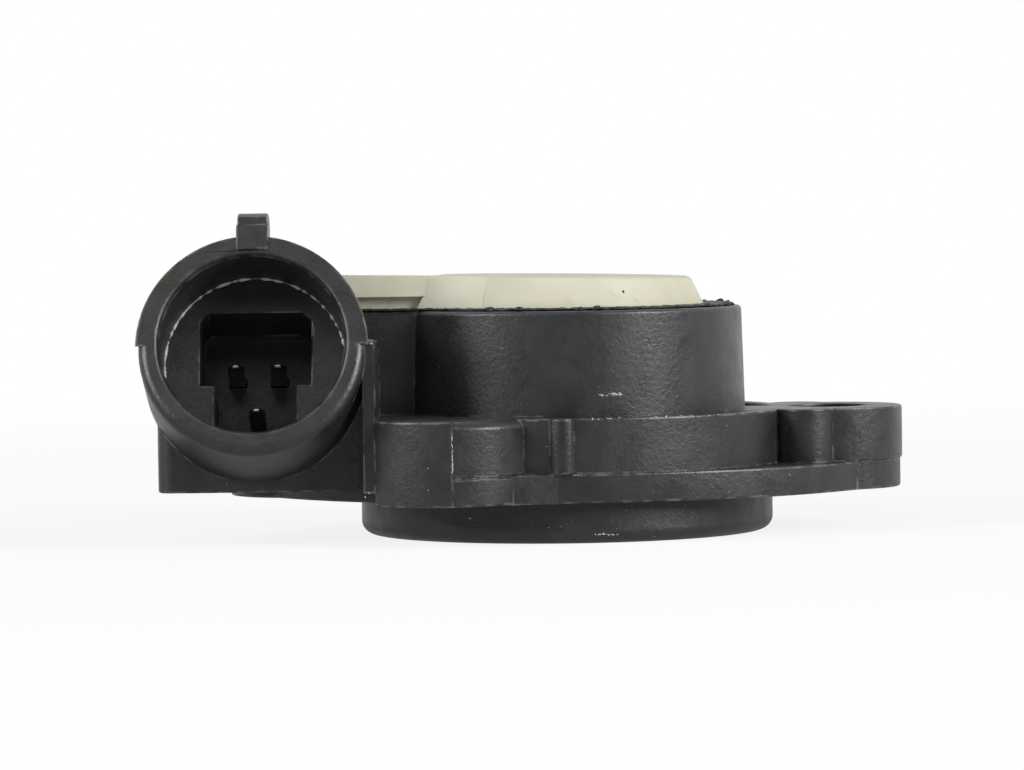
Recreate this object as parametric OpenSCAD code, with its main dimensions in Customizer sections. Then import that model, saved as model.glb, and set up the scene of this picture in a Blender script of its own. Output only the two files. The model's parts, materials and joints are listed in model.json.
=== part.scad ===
// Throttle position sensor with a round three-pin connector, a sealed cover and a sprung rotor.
// Millimetres. The rotor turns about Z, the mounting face lies at Z = 0 and the cover is on top.
// X runs from the connector to the right ear, and the connector's mouth opens towards -Y.

/* [Round body] */
// Radius of the round body at its rim
body_r = 17.2; // [16.9:0.1:17.6]
// Extra radius at the foot of the body
body_draft = 0.25; // [0.1:0.05:0.3]
// Height of the rim above the mounting face
body_top = 17.8; // [17.6:0.1:19]
// Rounding of the rim's outer edge
rim_round = 0.4; // [0.2:0.1:0.8]
// Wall of the body beside the cover's plate
mouth_wall = 1.9; // [1.6:0.1:2.1]
// Width of the ledge that the cover's plate sits on
cover_ledge = 0.5; // [0.4:0.1:0.7]
// Width of the ledge that the board sits on
board_ledge = 0.6; // [0.5:0.1:0.8]
// Height of the floor's underside above the mounting face
floor_low = 0.9; // [0.6:0.1:1.2]
// Thickness of the floor
floor_t = 2.0; // [1.8:0.1:2.2]

/* [Pilot boss] */
// Radius of the pilot boss
boss_r = 20; // [19.5:0.1:20.5]
// Drop of the boss below the mounting face
boss_drop = 3.9; // [3.6:0.1:5]
// Wall of the boss
boss_wall = 2.4; // [1.8:0.1:3]
// Rounding of the boss's bottom edge
boss_round = 1.3; // [0.6:0.1:1.6]
// Wall of the bearing sleeve round the seal
sleeve_wall = 1.8; // [1.4:0.1:2.2]
// Drop of the sleeve below the mounting face
sleeve_drop = 2.9; // [2.7:0.1:3.3]
// Ribs between the sleeve and the boss
boss_ribs = 6; // [3:1:10]
// Thickness of a rib
rib_t = 1.4; // [1:0.1:2]

/* [Flange] */
// Thickness of the flange
flange_t = 7.9; // [7.4:0.1:8.4]
// Thickness of its lower plate
plate_t = 2.3; // [1.8:0.1:3]
// Half width of the lower plate
plate_half = 21.7; // [21.4:0.1:22.2]
// Radius of the lower plate's long edges
plate_edge_r = 33.4; // [32:0.1:35]
// Distance from the axis to the plate's cut ends
plate_end = 28.4; // [27.5:0.1:29]
// Radius of the flange above its lower plate
upper_r = 21.5; // [21:0.1:22]
// Distance between the two mounting holes
hole_pitch = 50.9; // [50:0.1:52]
// Radius of an ear
ear_r = 7.25; // [6.8:0.05:7.6]
// Half width of the web that carries an ear
ear_web = 5.4; // [4.5:0.1:6]
// Width of the moulding groove round the body
groove_w = 2.8; // [2:0.1:3]
// Height of the groove's bottom above the mounting face
groove_low = 3.4; // [3:0.1:5]

/* [Flange bumps] */
// Left side of the front lobe
lobe_left = -17.9; // [-18.4:0.1:-17.5]
// Right side of the front lobe
lobe_right = -10.9; // [-11.5:0.1:-10.2]
// Reach of the front lobe from the axis
lobe_reach = 23.8; // [23.2:0.1:24.4]
// Rounding of the lobe's left corner
lobe_round = 1.0; // [0.5:0.1:1.5]
// Radius of the round bump beside the lobe
round_bump_r = 3.5; // [3:0.1:4]
// Radius of the small bump
small_bump_r = 1.2; // [0.8:0.1:1.6]
// Radius of the bumps at the ear
ear_bump_r = 2.9; // [2.5:0.1:3.3]

/* [Mounting sleeves] */
// Radius of an ear's opening
ear_bore_r = 3.9; // [3.5:0.05:4.2]
// Radius of a sleeve's bore
sleeve_bore_r = 2.65; // [2.2:0.05:3]
// Depth of a sleeve below the ear's top
sleeve_recess = 0.7; // [0.2:0.1:1.2]

/* [Connector tube] */
// Tilt of the tube's axis above the mounting plane
tube_tilt = 20; // [18:1:22]
// Outer radius of the tube
tube_r = 10.8; // [10.5:0.1:11.1]
// Radius of the tube's bore
socket_r = 8.6; // [8.4:0.05:8.9]
// Lead-in chamfer at the mouth
socket_lead = 0.3; // [0.1:0.05:0.5]
// Offset of the bore above the tube's axis
socket_rise = 0.3; // [0:0.05:0.4]
// Depth of the inner face below the mouth
face_depth = 5.4; // [5:0.1:6]
// Length of the tube
tube_l = 9.0; // [8.4:0.1:9.6]
// Rounding of the lower half's outer edge
tube_round = 1.0; // [0.5:0.1:1.4]
// Step of the mould's parting line on the tube
parting_step = 0.25; // [0.1:0.05:0.4]
// Wall round the keyed cavity behind the tube
core_wall = 0.9; // [0.7:0.1:1.1]

/* [Keyed cavity] */
// Width of the cavity's wide part
key_wide = 10.5; // [10:0.1:11]
// Width of its narrow part
key_narrow = 8.0; // [7.4:0.1:8.6]
// Top of the wide part above the tube's axis
key_top = 4.8; // [4.5:0.1:5]
// Height of the shoulder between the parts
key_shoulder = -2.4; // [-3:0.1:-2]
// Radius of the narrow part's round bottom
key_bottom_r = 7.6; // [7.2:0.1:7.9]
// Chamfer of the top corners
key_chamfer = 0.8; // [0.4:0.1:1.2]
// Depth of the cavity's floor below the mouth
key_depth = 13.6; // [13:0.1:13.8]

/* [Latch] */
// Width of the latch tab
latch_w = 2.9; // [2.4:0.1:3.4]
// Height of the tab above the tube
latch_h = 3.05; // [2.5:0.05:3.4]
// Height of the tab's front edge
latch_front = 1.0; // [0.6:0.1:1.4]
// Length of the tab along the tube
latch_l = 5.0; // [4:0.1:6]

/* [Connector block] */
// Left side of the block
block_left = -38.6; // [-39.2:0.1:-38]
// Right side of the block
block_right = -18.7; // [-19:0.1:-18.4]
// Front of the block
block_front = -17.0; // [-17.4:0.1:-16.6]
// Height of the block's underside
block_low = 1.2; // [0.8:0.1:1.6]
// Height of the block's top
block_top = 15.1; // [14.8:0.1:15.4]
// Rounding of the block's upright corners
block_round = 1.4; // [0.8:0.1:2]
// Thickness of the cheek wall beside the tube
cheek_t = 2.1; // [1.8:0.1:2.4]
// Front of the cheek wall
cheek_front = -21.6; // [-22:0.1:-21.2]

/* [Terminals] */
// Width of a blade
pin_w = 1.5; // [1.3:0.1:1.6]
// Thickness of the strip
strip_t = 0.8; // [0.7:0.05:0.85]
// Depth of the blades' tips below the mouth
tip_depth = 8.4; // [7.6:0.1:9]
// Length of a blade's tapered tip
tip_l = 1.2; // [0.8:0.1:1.6]
// Width of the tip's end
tip_w = 0.55; // [0.4:0.05:0.8]
// Distance between the two upper blades
pin_pitch = 4.0; // [3.8:0.1:4.2]
// Height of the upper blades above the tube's axis
pin_rise = 0.65; // [0.4:0.05:0.9]
// Drop of the lower blade below the tube's axis
pin_drop = 3.7; // [3.4:0.05:4]
// Height of a runner between connector and board
runner_h = 0.6; // [0.5:0.05:0.65]
// Gap between two runners
runner_gap = 0.3; // [0.25:0.05:0.35]
// Wall behind the terminals
back_wall = 0.8; // [0.7:0.1:0.9]

/* [Terminal neck] */
// Back of the block and of the neck
neck_back = -5.0; // [-5.3:0.1:-4.8]
// Left end of the channel
channel_left = -23.1; // [-23.6:0.1:-22.6]
// Width of the channel
channel_w = 3.0; // [2.8:0.1:3.1]
// Wall round the channel
channel_wall = 0.8; // [0.7:0.1:1]

/* [Cover] */
// Thickness of the cover's plate
cover_t = 1.0; // [0.8:0.1:1.1]
// Depth of the plate's top below the rim
cover_sunk = 0.5; // [0.4:0.1:0.6]
// Radius of the raised pad at its foot
pad_r = 13.5; // [13.2:0.1:13.8]
// Radius of the pad at its top
pad_top_r = 12.3; // [12:0.1:12.6]
// Height of the pad above the rim
pad_h = 2.85; // [2.4:0.05:3.4]
// Wall of the pad
pad_wall = 1.5; // [1.2:0.1:1.8]
// Thickness of the tongue's lip
lip_t = 1.45; // [1.2:0.05:1.6]
// How far the lip stands out beyond the skirt under it
lip_over = 0.8; // [0.5:0.1:1]
// Radius of the boss that holds the upper bearing
bearing_boss_r = 4.2; // [4:0.1:4.3]

/* [Sealing compound] */
// Height of the bead above the rim
bead_h = 0.3; // [0.2:0.05:0.4]
// How far the bead lies over the rim
bead_over = 1.2; // [0.8:0.1:1.5]
// Lumps along the bead
bead_lumps = 26; // [12:1:40]
// Radius of the largest lump
lump_r = 0.5; // [0.3:0.05:0.6]

/* [Rotor] */
// Radius of the lower journal
journal_r = 7.5; // [7.3:0.1:7.7]
// Drop of the journal below the mounting face
journal_drop = 2.6; // [2.4:0.1:3]
// Radius of the hub inside the spring
hub_r = 9.0; // [8.8:0.1:9.2]
// Thickness of the disc
disc_t = 1.6; // [1.4:0.1:1.8]
// Gap between the disc's edge and the body
disc_gap = 0.8; // [0.6:0.1:1]
// Radius of the upper journal
spigot_r = 2.5; // [2.3:0.1:2.6]
// Radius of the shoulder under the wave washer
shoulder_r = 3.4; // [3.2:0.1:3.6]
// Radius of the bore for the throttle shaft
drive_r = 4.1; // [3.8:0.1:4.4]
// Depth of that bore
drive_depth = 6.0; // [5.5:0.1:6.4]
// Width of the slot for the shaft's tongue
slot_w = 4.2; // [3.8:0.1:4.6]
// Depth of the slot above the bore
slot_depth = 3.6; // [3:0.1:4]
// How far the slot reaches beyond the bore at each end
slot_ease = 0.2; // [0.1:0.05:0.4]
// Running clearance of the journals, on the radius
run_gap = 0.05; // [0.03:0.01:0.08]
// Angle of the stop lug at rest
lug_angle = 60; // [55:1:65]
// Width of the lug in degrees
lug_span = 12; // [10:1:14]
// Travel of the rotor in degrees
travel = 100; // [90:1:102]

/* [Springs and washers] */
// Wire of the return spring
wire_d = 0.9; // [0.8:0.05:1]
// Radius of the coil's middle line
coil_r = 10.9; // [10.8:0.1:11.1]
// Turns of the coil
coil_turns = 3.5; // [3.5]
// Rise of the coil in one turn
coil_pitch = 1.15; // [1.05:0.05:1.2]
// Thickness of the thrust washer
washer_t = 0.7; // [0.6:0.1:0.8]
// Thickness of the wave washer
wave_t = 0.15; // [0.12:0.01:0.2]
// Height of one wave from its middle
wave_h = 0.36; // [0.3:0.02:0.4]
// Thickness of the clip in the drive slot
clip_t = 0.25; // [0.2:0.05:0.3]
// Width of the seal in its seat
seal_w = 2.65; // [2.4:0.05:2.9]
// Height of the seal
seal_h = 2.1; // [1.9:0.1:2.2]
// Thickness of the ring that holds the seal
retainer_t = 0.5; // [0.4:0.05:0.6]

/* [Board and wiper] */
// Thickness of the board
board_t = 1.0; // [0.8:0.1:1.1]
// Radius of the board's hole
board_hole_r = 4.5; // [4.4:0.1:4.8]
// Thickness of the printed layers
print_t = 0.1; // [0.08:0.01:0.12]
// Middle radius of the resistance track
track_r = 10.5; // [10.3:0.1:10.7]
// Middle radius of the collector track
collector_r = 7.0; // [6.8:0.1:7.2]
// Width of both tracks
track_w = 2.0; // [1.8:0.1:2.2]
// Height of the wiper's tips above the disc
wiper_h = 1.95; // [1.8:0.05:2.1]
// Thickness of the wiper's strip
wiper_t = 0.2; // [0.15:0.05:0.25]
// Width of one wiper finger
finger_w = 0.4; // [0.3:0.05:0.45]
// Distance between two fingers
finger_pitch = 0.6; // [0.55:0.05:0.65]

/* [Hidden] */
$fn = 72;

// Overlap that lets a cut run past a face
cut = 1;
// Clearance of pieces that are put together and stay still
fit_gap = 0.1;
// Colours of the materials
black_plastic = [0.17, 0.17, 0.17];
cream_plastic = [0.83, 0.82, 0.72];
black_compound = [0.08, 0.08, 0.08];
tin = [0.75, 0.75, 0.73];
steel = [0.62, 0.63, 0.65];
bronze = [0.78, 0.6, 0.38];

// Radii inside the round body, from the rim down
mouth_r = body_r - mouth_wall;
pocket_r = mouth_r - cover_ledge;
cavity_r = pocket_r - board_ledge;
foot_r = body_r + body_draft;
groove_r = foot_r + groove_w;

// Heights inside the body, from the floor up
floor_top = floor_low + floor_t;
hub_low = floor_top + washer_t + run_gap;
coil_low = floor_top + run_gap + wire_d / 2;
coil_high = coil_low + coil_turns * coil_pitch;
disc_low = coil_high + wire_d / 2 + 0.4;
disc_top = disc_low + disc_t;
print_low = disc_top + wiper_h + run_gap;
board_low = print_low + print_t;
board_top = board_low + board_t;

// The cover's heights
plate_top = body_top - cover_sunk;
plate_low = plate_top - cover_t;
pad_top = body_top + pad_h;
lip_low = pad_top - lip_t;

// The boss, its bearing and its seal
bearing_r = journal_r + run_gap;
seal_r = bearing_r + seal_w;
sleeve_r = seal_r + sleeve_wall;
seal_low = floor_low - 0.7 - seal_h;
seal_top = seal_low + seal_h;

// Centres of the flange's holes and bumps
ear_x = hole_pitch / 2;
edge_offset = plate_edge_r - plate_half;
round_bump = [-9.4, -(lobe_reach - round_bump_r)];
small_bump = [-4.4, -(upper_r + 0.55 - small_bump_r)];
ear_bump = [22.9, 5.9];

// Centre of the tube's mouth, and the frame that looks into it
mouth = [-29.3, -22, 15.2];
parting_z = mouth[2];
core_r = norm([key_wide / 2 - key_chamfer / 2, key_top]) + core_wall + 0.4;
core_l = key_depth + core_wall;

// The terminals stand in one upright sheet behind the cavity, and run to the board along X
sheet_back = neck_back - back_wall;
sheet_front = sheet_back - strip_t;
sheet_mid = (sheet_back + sheet_front) / 2;
eyelet_pitch = 1.6;
eyelet_first = -11.8;
eyelet_r = 0.45;
eyelet_flange_r = 0.7;
eyelet_flange_t = 0.2;
runner_first = board_top + runner_gap + runner_h / 2;
runner_step = runner_h + runner_gap;
// Extra width of a riser on each side of its blade
riser_shoulder = 0.1;
wall_left = mouth[0] - pin_pitch / 2 - pin_w / 2 - riser_shoulder - back_wall;

// The channel between the connector and the body
channel_back = sheet_back;
channel_front = channel_back - channel_w;
channel_low = board_top + runner_gap;
channel_right = -cavity_r + 2.2;
neck_front = channel_front - channel_wall;
neck_left = channel_left - channel_wall;

// Outline of the corner where the pad grows towards the tongue
corner_points = [[-8, -10.9], [-11.4, -9.9], [-14.15, -8.6], [-14.15, -5.6], [-8, -4]];

// The rotor's details
spring_hole_r = wire_d / 2 + 0.1;
lug_in = coil_r + wire_d / 2 + 0.7;
lug_out = cavity_r - disc_gap - 0.3;
lug_drop = 2.2;
stop_gap_deg = 0.6;
stop_span = 11;
anchor_angle = 250;
wiper_angle = lug_angle;
stake_r = 0.55;
stake_head_r = 0.9;

// A ring about Z between two radii and two heights
module ring(r_out, r_in, low, high) {
    translate([0, 0, low]) difference() {
        cylinder(h = high - low, r = r_out);
        translate([0, 0, -cut]) cylinder(h = high - low + 2 * cut, r = r_in);
    }
}

// A part of such a ring between two angles
module ring_part(r_out, r_in, low, high, from, to) {
    rotate([0, 0, from])
        rotate_extrude(angle = to - from)
            translate([r_in, low])
                square([r_out - r_in, high - low]);
}

// An upright block with rounded corners, between two opposite corners
module rounded_block(from, to, r) {
    x0 = from[0] + r;
    x1 = to[0] - r;
    y0 = from[1] + r;
    y1 = to[1] - r;
    h = to[2] - from[2];
    translate([0, 0, from[2]]) union() {
        translate([from[0], y0, 0]) cube([to[0] - from[0], y1 - y0, h]);
        translate([x0, from[1], 0]) cube([x1 - x0, to[1] - from[1], h]);
        for (x = [x0, x1])
            for (y = [y0, y1])
                translate([x, y, 0]) cylinder(h = h, r = r);
    }
}

// A plain block between two opposite corners
module span(from, to) {
    translate(from) cube(to - from);
}

// Moves a piece drawn along Z to the connector's axis, with Z out of the mouth and Y up
module at_mouth() {
    translate(mouth) rotate([90 - tube_tilt, 0, 0]) children();
}

// HOUSING

// Outside of the round body, with its draft and soft rim
module body_outside() {
    rotate_extrude() union() {
        polygon([[0, 0], [foot_r, 0], [foot_r, flange_t], [body_r, body_top - rim_round],
            [body_r - rim_round, body_top - rim_round], [body_r - rim_round, body_top],
            [0, body_top]]);
        translate([body_r - rim_round, body_top - rim_round]) circle(r = rim_round, $fn = 32);
    }
}

// Pilot boss with its rounded bottom edge
module boss_outside() {
    translate([0, 0, -boss_drop]) rotate_extrude() union() {
        translate([0, boss_round]) square([boss_r, boss_drop - boss_round + cut]);
        square([boss_r - boss_round, boss_drop]);
        translate([boss_r - boss_round, boss_round]) circle(r = boss_round, $fn = 40);
    }
}

// Lower plate of the flange: two long arcs that meet in the ears, with cut ends
module plate_outline() {
    intersection() {
        translate([0, edge_offset]) circle(r = plate_edge_r, $fn = 120);
        translate([0, -edge_offset]) circle(r = plate_edge_r, $fn = 120);
        square([2 * plate_end, 4 * plate_half], center = true);
    }
}

// One ear with the web that carries it
module ear_outline(side) {
    translate([side * ear_x, 0]) circle(r = ear_r);
    translate([side > 0 ? 0 : -ear_x, -ear_web]) square([ear_x, 2 * ear_web]);
}

// The square lobe at the front left, rounded at its outer corner
module lobe_outline() {
    translate([lobe_left, -lobe_reach + lobe_round])
        square([lobe_right - lobe_left, lobe_reach - lobe_round - 8]);
    translate([lobe_left + lobe_round, -lobe_reach])
        square([lobe_right - lobe_left - lobe_round, lobe_round + cut]);
    translate([lobe_left + lobe_round, -lobe_reach + lobe_round])
        circle(r = lobe_round, $fn = 32);
}

// The flange above its lower plate, with the bumps of its edge
module upper_outline() {
    circle(r = upper_r);
    translate(round_bump) circle(r = round_bump_r);
    translate(small_bump) circle(r = small_bump_r, $fn = 40);
    for (y = [-ear_bump[1], ear_bump[1]])
        translate([ear_bump[0], y]) circle(r = ear_bump_r, $fn = 48);
}

// The whole flange
module flange() {
    linear_extrude(height = plate_t) plate_outline();
    linear_extrude(height = flange_t) union() {
        ear_outline(-1);
        ear_outline(1);
    }
    linear_extrude(height = flange_t) lobe_outline();
    translate([0, 0, plate_t]) linear_extrude(height = flange_t - plate_t) upper_outline();
    // The lower plate runs straight on from the lobe to its long arc
    linear_extrude(height = plate_t) polygon([[lobe_right - cut, -lobe_reach + 0.1],
        [lobe_right, -lobe_reach + 0.1], [-1.1, -plate_half], [-1.1, -8], [lobe_right - cut, -8]]);
}

// Moulding groove round the body, interrupted by lands at the ear, the neck and the ribs
module groove() {
    difference() {
        ring(groove_r, foot_r, groove_low, flange_t + cut);
        // Land at the right ear
        span([0, -8.7, groove_low - cut], [upper_r + cut, 0.5, flange_t + 2 * cut]);
        // Land under the connector and its neck
        span([-upper_r - cut, neck_front - 4, groove_low - cut], [0, 9, flange_t + 2 * cut]);
        for (a = [-62, -100, 40, 85, 130])
            rotate([0, 0, a]) span([foot_r - cut, -rib_t / 2, groove_low - cut],
                [groove_r + cut, rib_t / 2, flange_t + 2 * cut]);
    }
}

// Outside of the connector tube: sharp above the parting line, rounded and stepped in below it
module tube_outside() {
    low_r = tube_r - parting_step;
    big = 3 * tube_r;
    intersection() {
        at_mouth() translate([0, 0, -tube_l]) cylinder(h = tube_l, r = tube_r);
        translate([mouth[0], mouth[1], parting_z + big / 2]) cube([big, 3 * big, big], center = true);
    }
    intersection() {
        at_mouth() translate([0, 0, -tube_l]) rotate_extrude() union() {
            square([low_r, tube_l - tube_round]);
            square([low_r - tube_round, tube_l]);
            translate([low_r - tube_round, tube_l - tube_round]) circle(r = tube_round, $fn = 40);
        }
        translate([mouth[0], mouth[1], parting_z - big / 2]) cube([big, 3 * big, big], center = true);
    }
}

// Latch tab, drawn from the side and as wide as latch_w
module latch() {
    top = tube_r + latch_h;
    side = [[0, -tube_r + 1], [0, -tube_r - latch_front], [-1.7, -top + 0.45], [-2.4, -top],
        [-latch_l + 0.8, -top], [-latch_l, -top + 0.8], [-latch_l, -tube_r + 1]];
    at_mouth()
        translate([-latch_w / 2, 0, 0])
            rotate([90, 0, 90])
                linear_extrude(height = latch_w)
                    polygon([for (p = side) [-p[1], p[0]]]);
}

// The keyed cavity's outline, seen into the mouth
module key_outline() {
    half = key_wide / 2;
    polygon([[-half, key_shoulder], [-half, key_top - key_chamfer], [-half + key_chamfer, key_top],
        [half - key_chamfer, key_top], [half, key_top - key_chamfer], [half, key_shoulder]]);
    intersection() {
        circle(r = key_bottom_r);
        translate([-key_narrow / 2, -key_bottom_r - cut])
            square([key_narrow, key_bottom_r + cut + key_shoulder + 0.5]);
    }
}

// What is cut out of the connector: bore, lead-in and keyed cavity
module connector_cuts() {
    at_mouth() {
        translate([0, socket_rise, -face_depth]) cylinder(h = face_depth + cut, r = socket_r);
        translate([0, socket_rise, -2 * socket_lead])
            cylinder(h = 2 * socket_lead + 0.02, r1 = socket_r, r2 = socket_r + socket_lead);
        translate([0, 0, -key_depth]) linear_extrude(height = key_depth) key_outline();
    }
}

// Block, cheek wall and the walls behind the tube
module connector_solid() {
    tube_outside();
    latch();
    at_mouth() translate([0, 0, -core_l]) cylinder(h = core_l - 1, r = core_r);
    rounded_block([block_left, block_front, block_low], [block_right, neck_back, block_top],
        block_round);
    // Cheek wall with the small knob on its front corner
    span([block_right - 1.3, cheek_front, block_low],
        [block_right - 1.3 + cheek_t, neck_front, parting_z]);
    translate([block_right - 1.3 + cheek_t - 0.7, cheek_front + 0.7, parting_z - 1])
        cylinder(h = 1.3, r = 0.7, $fn = 24);
    // Wall round the upright sheet of terminals
    span([wall_left, sheet_front - back_wall, block_low], [channel_left, neck_back, body_top]);
    // Neck between the block and the round body
    span([neck_left, neck_front, block_low], [channel_right, neck_back, body_top]);
}

// Bearing sleeve and ribs under the floor
module boss_inside() {
    ring(sleeve_r, bearing_r, -sleeve_drop, floor_top);
    for (i = [0 : boss_ribs - 1])
        rotate([0, 0, (i + 0.5) * 360 / boss_ribs])
            span([sleeve_r - 0.5, -rib_t / 2, -sleeve_drop + 0.5],
                [boss_r - boss_wall + 0.5, rib_t / 2, floor_low + 0.5]);
}

// Stops for the rotor's lug, and the slotted post that holds the spring's lower leg
module inner_posts() {
    low_end = lug_angle - lug_span / 2 - stop_gap_deg;
    high_end = lug_angle + lug_span / 2 + travel + stop_gap_deg;
    top = disc_low - 0.4;
    ring_part(cavity_r + 0.5, lug_in, floor_top - 0.5, top, low_end - stop_span, low_end);
    ring_part(cavity_r + 0.5, lug_in, floor_top - 0.5, top, high_end, high_end + stop_span);
    difference() {
        ring_part(cavity_r + 0.5, lug_in, floor_top - 0.5, floor_top + 3, anchor_angle - 10,
            anchor_angle + 10);
        rotate([0, 0, anchor_angle]) span([0, -wire_d / 2 - 0.1, floor_top],
            [cavity_r - 0.2, wire_d / 2 + 0.1, floor_top + 3 + cut]);
    }
}

module housing() {
    color(black_plastic) union() {
        difference() {
            union() {
                body_outside();
                boss_outside();
                flange();
                connector_solid();
            }
            // Hollows of the round body, from the mouth down to the floor
            translate([0, 0, plate_low]) cylinder(h = body_top, r = mouth_r);
            translate([0, 0, board_low]) cylinder(h = body_top, r = pocket_r);
            translate([0, 0, floor_top]) cylinder(h = body_top, r = cavity_r);
            // Hollow of the boss and the bearing's bore
            translate([0, 0, -boss_drop - cut])
                cylinder(h = boss_drop + cut + floor_low, r = boss_r - boss_wall);
            translate([0, 0, -boss_drop]) cylinder(h = boss_drop + body_top, r = bearing_r);
            groove();
            connector_cuts();
            // Channel for the terminals
            span([channel_left, channel_front, channel_low],
                [channel_right, channel_back, body_top + cut]);
            for (side = [-1, 1])
                translate([side * ear_x, 0, -cut]) cylinder(h = flange_t + 2 * cut, r = ear_bore_r);
            terminal_a();
            terminal_b();
            terminal_c();
        }
        difference() {
            boss_inside();
            // Seat of the seal and its ring
            translate([0, 0, -boss_drop]) cylinder(h = boss_drop + seal_top, r = seal_r);
        }
        inner_posts();
    }
}

// COVER AND SEALING

// Foot of the raised pad, its corner and the tongue's skirt, above the rim
module raised_outline() {
    circle(r = pad_r);
    polygon(corner_points);
    skirt_outline();
}

// Skirt under the tongue's lip
module skirt_outline() {
    translate([channel_left + fit_gap + 0.4, channel_front + 1.2])
        square([-channel_left - pad_r + 2, channel_w - 1.5]);
}

// The mouth of the housing, wider by grow
module mouth_outline(grow) {
    circle(r = mouth_r + grow);
    translate([channel_left - grow, channel_front - grow])
        square([channel_right - channel_left + grow, channel_w + 2 * grow]);
}

// Lip of the tongue
module lip_outline() {
    translate([channel_left - 0.4, channel_front + 1.2 - lip_over])
        square([-channel_left - pad_r + 3, channel_w - 1.5 + lip_over + 0.4]);
}

module cover() {
    foot = body_top + bead_h;
    inner_r = pad_r - pad_wall;
    inner_top_r = pad_top_r - pad_wall;
    inner_top = pad_top - pad_wall;
    color(cream_plastic) difference() {
        union() {
            // Plate in the body's mouth, and the part of it in the channel
            translate([0, 0, plate_low]) cylinder(h = cover_t, r = mouth_r - fit_gap);
            span([channel_left + fit_gap, channel_front + fit_gap, plate_low],
                [-pad_r, channel_back - fit_gap, plate_top]);
            // Raised pad
            rotate_extrude() polygon([[0, plate_low], [pad_r, plate_low], [pad_r, foot],
                [pad_top_r + 0.1, pad_top - 0.3], [pad_top_r - 0.2, pad_top], [0, pad_top]]);
            // Corner of the pad towards the tongue
            translate([0, 0, body_top]) linear_extrude(height = bead_h) polygon(corner_points);
            translate([0, 0, foot])
                linear_extrude(height = pad_top - foot, scale = pad_top_r / pad_r)
                    polygon(corner_points);
            translate([0, 0, plate_low])
                linear_extrude(height = lip_low - plate_low) skirt_outline();
            translate([0, 0, lip_low]) linear_extrude(height = lip_t) lip_outline();
            // Rib that presses the board on its ledge, and the boss of the upper bearing
            ring(pocket_r - 0.9, pocket_r - 1.9, board_top, plate_low + 0.1);
        }
        // Hollow of the pad
        rotate_extrude() polygon([[0, plate_low - cut], [inner_r - 0.4, plate_low - cut],
            [inner_r - 0.4, plate_low + cover_t / 2], [inner_top_r, inner_top], [0, inner_top]]);
        // Gap in the rib where the terminals come in
        span([-pocket_r - cut, channel_front - 0.2, board_top - cut], [0, channel_back + 1, plate_low]);
    }
    color(cream_plastic) difference() {
        translate([0, 0, board_top + 0.7])
            cylinder(h = inner_top - board_top - 0.7 + 0.1, r = bearing_boss_r);
        translate([0, 0, board_top]) cylinder(h = spigot_top() - board_top + 0.3,
            r = spigot_r + run_gap);
    }
}

// Top of the rotor's upper journal
function spigot_top() = pad_top - pad_wall - 2.2;

// A number from 0 to 1 that looks random and stays the same
function shuffle(i) = let (v = sin(i * 127.1 + 11.7) * 437.5) v - floor(v);

// Places lump i of the bead, a little inside the bead's edge
module at_lump(i) {
    rotate([0, 0, (i + 0.7 * shuffle(i)) * 360 / bead_lumps - 150])
        translate([mouth_r + bead_over - 0.3 * lump_r, 0, 0])
            children();
}

function lump_size(i) = lump_r * (0.65 + 0.35 * shuffle(i + 90));

module cover_sealant() {
    color(black_compound) difference() {
        union() {
            translate([0, 0, plate_top]) linear_extrude(height = body_top - plate_top)
                mouth_outline(0);
            // The bead over the rim, ragged where lumps ran out
            translate([0, 0, body_top]) linear_extrude(height = bead_h) union() {
                mouth_outline(bead_over);
                for (i = [0 : bead_lumps - 1])
                    at_lump(i) circle(r = lump_size(i), $fn = 24);
            }
            // The lumps' tops
            for (i = [0 : bead_lumps - 1])
                at_lump(i) translate([0, 0, body_top + bead_h / 2])
                    cylinder(h = bead_h / 2 + 0.06 + 0.2 * shuffle(i + 50), r = 0.6 * lump_size(i),
                        $fn = 24);
        }
        translate([0, 0, plate_top - cut])
            linear_extrude(height = cut + body_top - plate_top) union() {
                circle(r = pad_r);
                skirt_outline();
            }
        translate([0, 0, body_top]) linear_extrude(height = 2) raised_outline();
    }
}

module terminal_sealant() {
    color(black_compound) difference() {
        span([channel_left, channel_front, channel_low], [-pocket_r - 0.2, channel_back, plate_low]);
        terminal_a();
        terminal_b();
        terminal_c();
    }
}

// TERMINALS

// A flat blade along the tube, tapered at its tip in both directions
module blade(x, u, length) {
    half_w = pin_w / 2;
    half_t = strip_t / 2;
    half_tip = tip_w / 2;
    at_mouth() translate([x, u, -tip_depth]) intersection() {
        rotate([-90, 0, 0]) translate([0, 0, -half_t]) linear_extrude(height = strip_t)
            polygon([[-half_tip, 0], [half_tip, 0], [half_w, tip_l], [half_w, length],
                [-half_w, length], [-half_w, tip_l]]);
        rotate([-90, 0, 90]) translate([0, 0, -half_w]) linear_extrude(height = pin_w)
            polygon([[-half_tip / 2, 0], [half_tip / 2, 0], [half_t, tip_l], [half_t, length],
                [-half_t, length], [-half_t, tip_l]]);
    }
}

// Length of a blade at height u that ends in the upright sheet
function blade_length(u) =
    (sheet_mid - mouth[1] - u * sin(tube_tilt)) / cos(tube_tilt) - tip_depth;

// Height above the mounting face at which that blade meets the sheet
function blade_end_z(u) = mouth[2] + u * cos(tube_tilt)
    - (blade_length(u) + tip_depth) * sin(tube_tilt);

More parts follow.
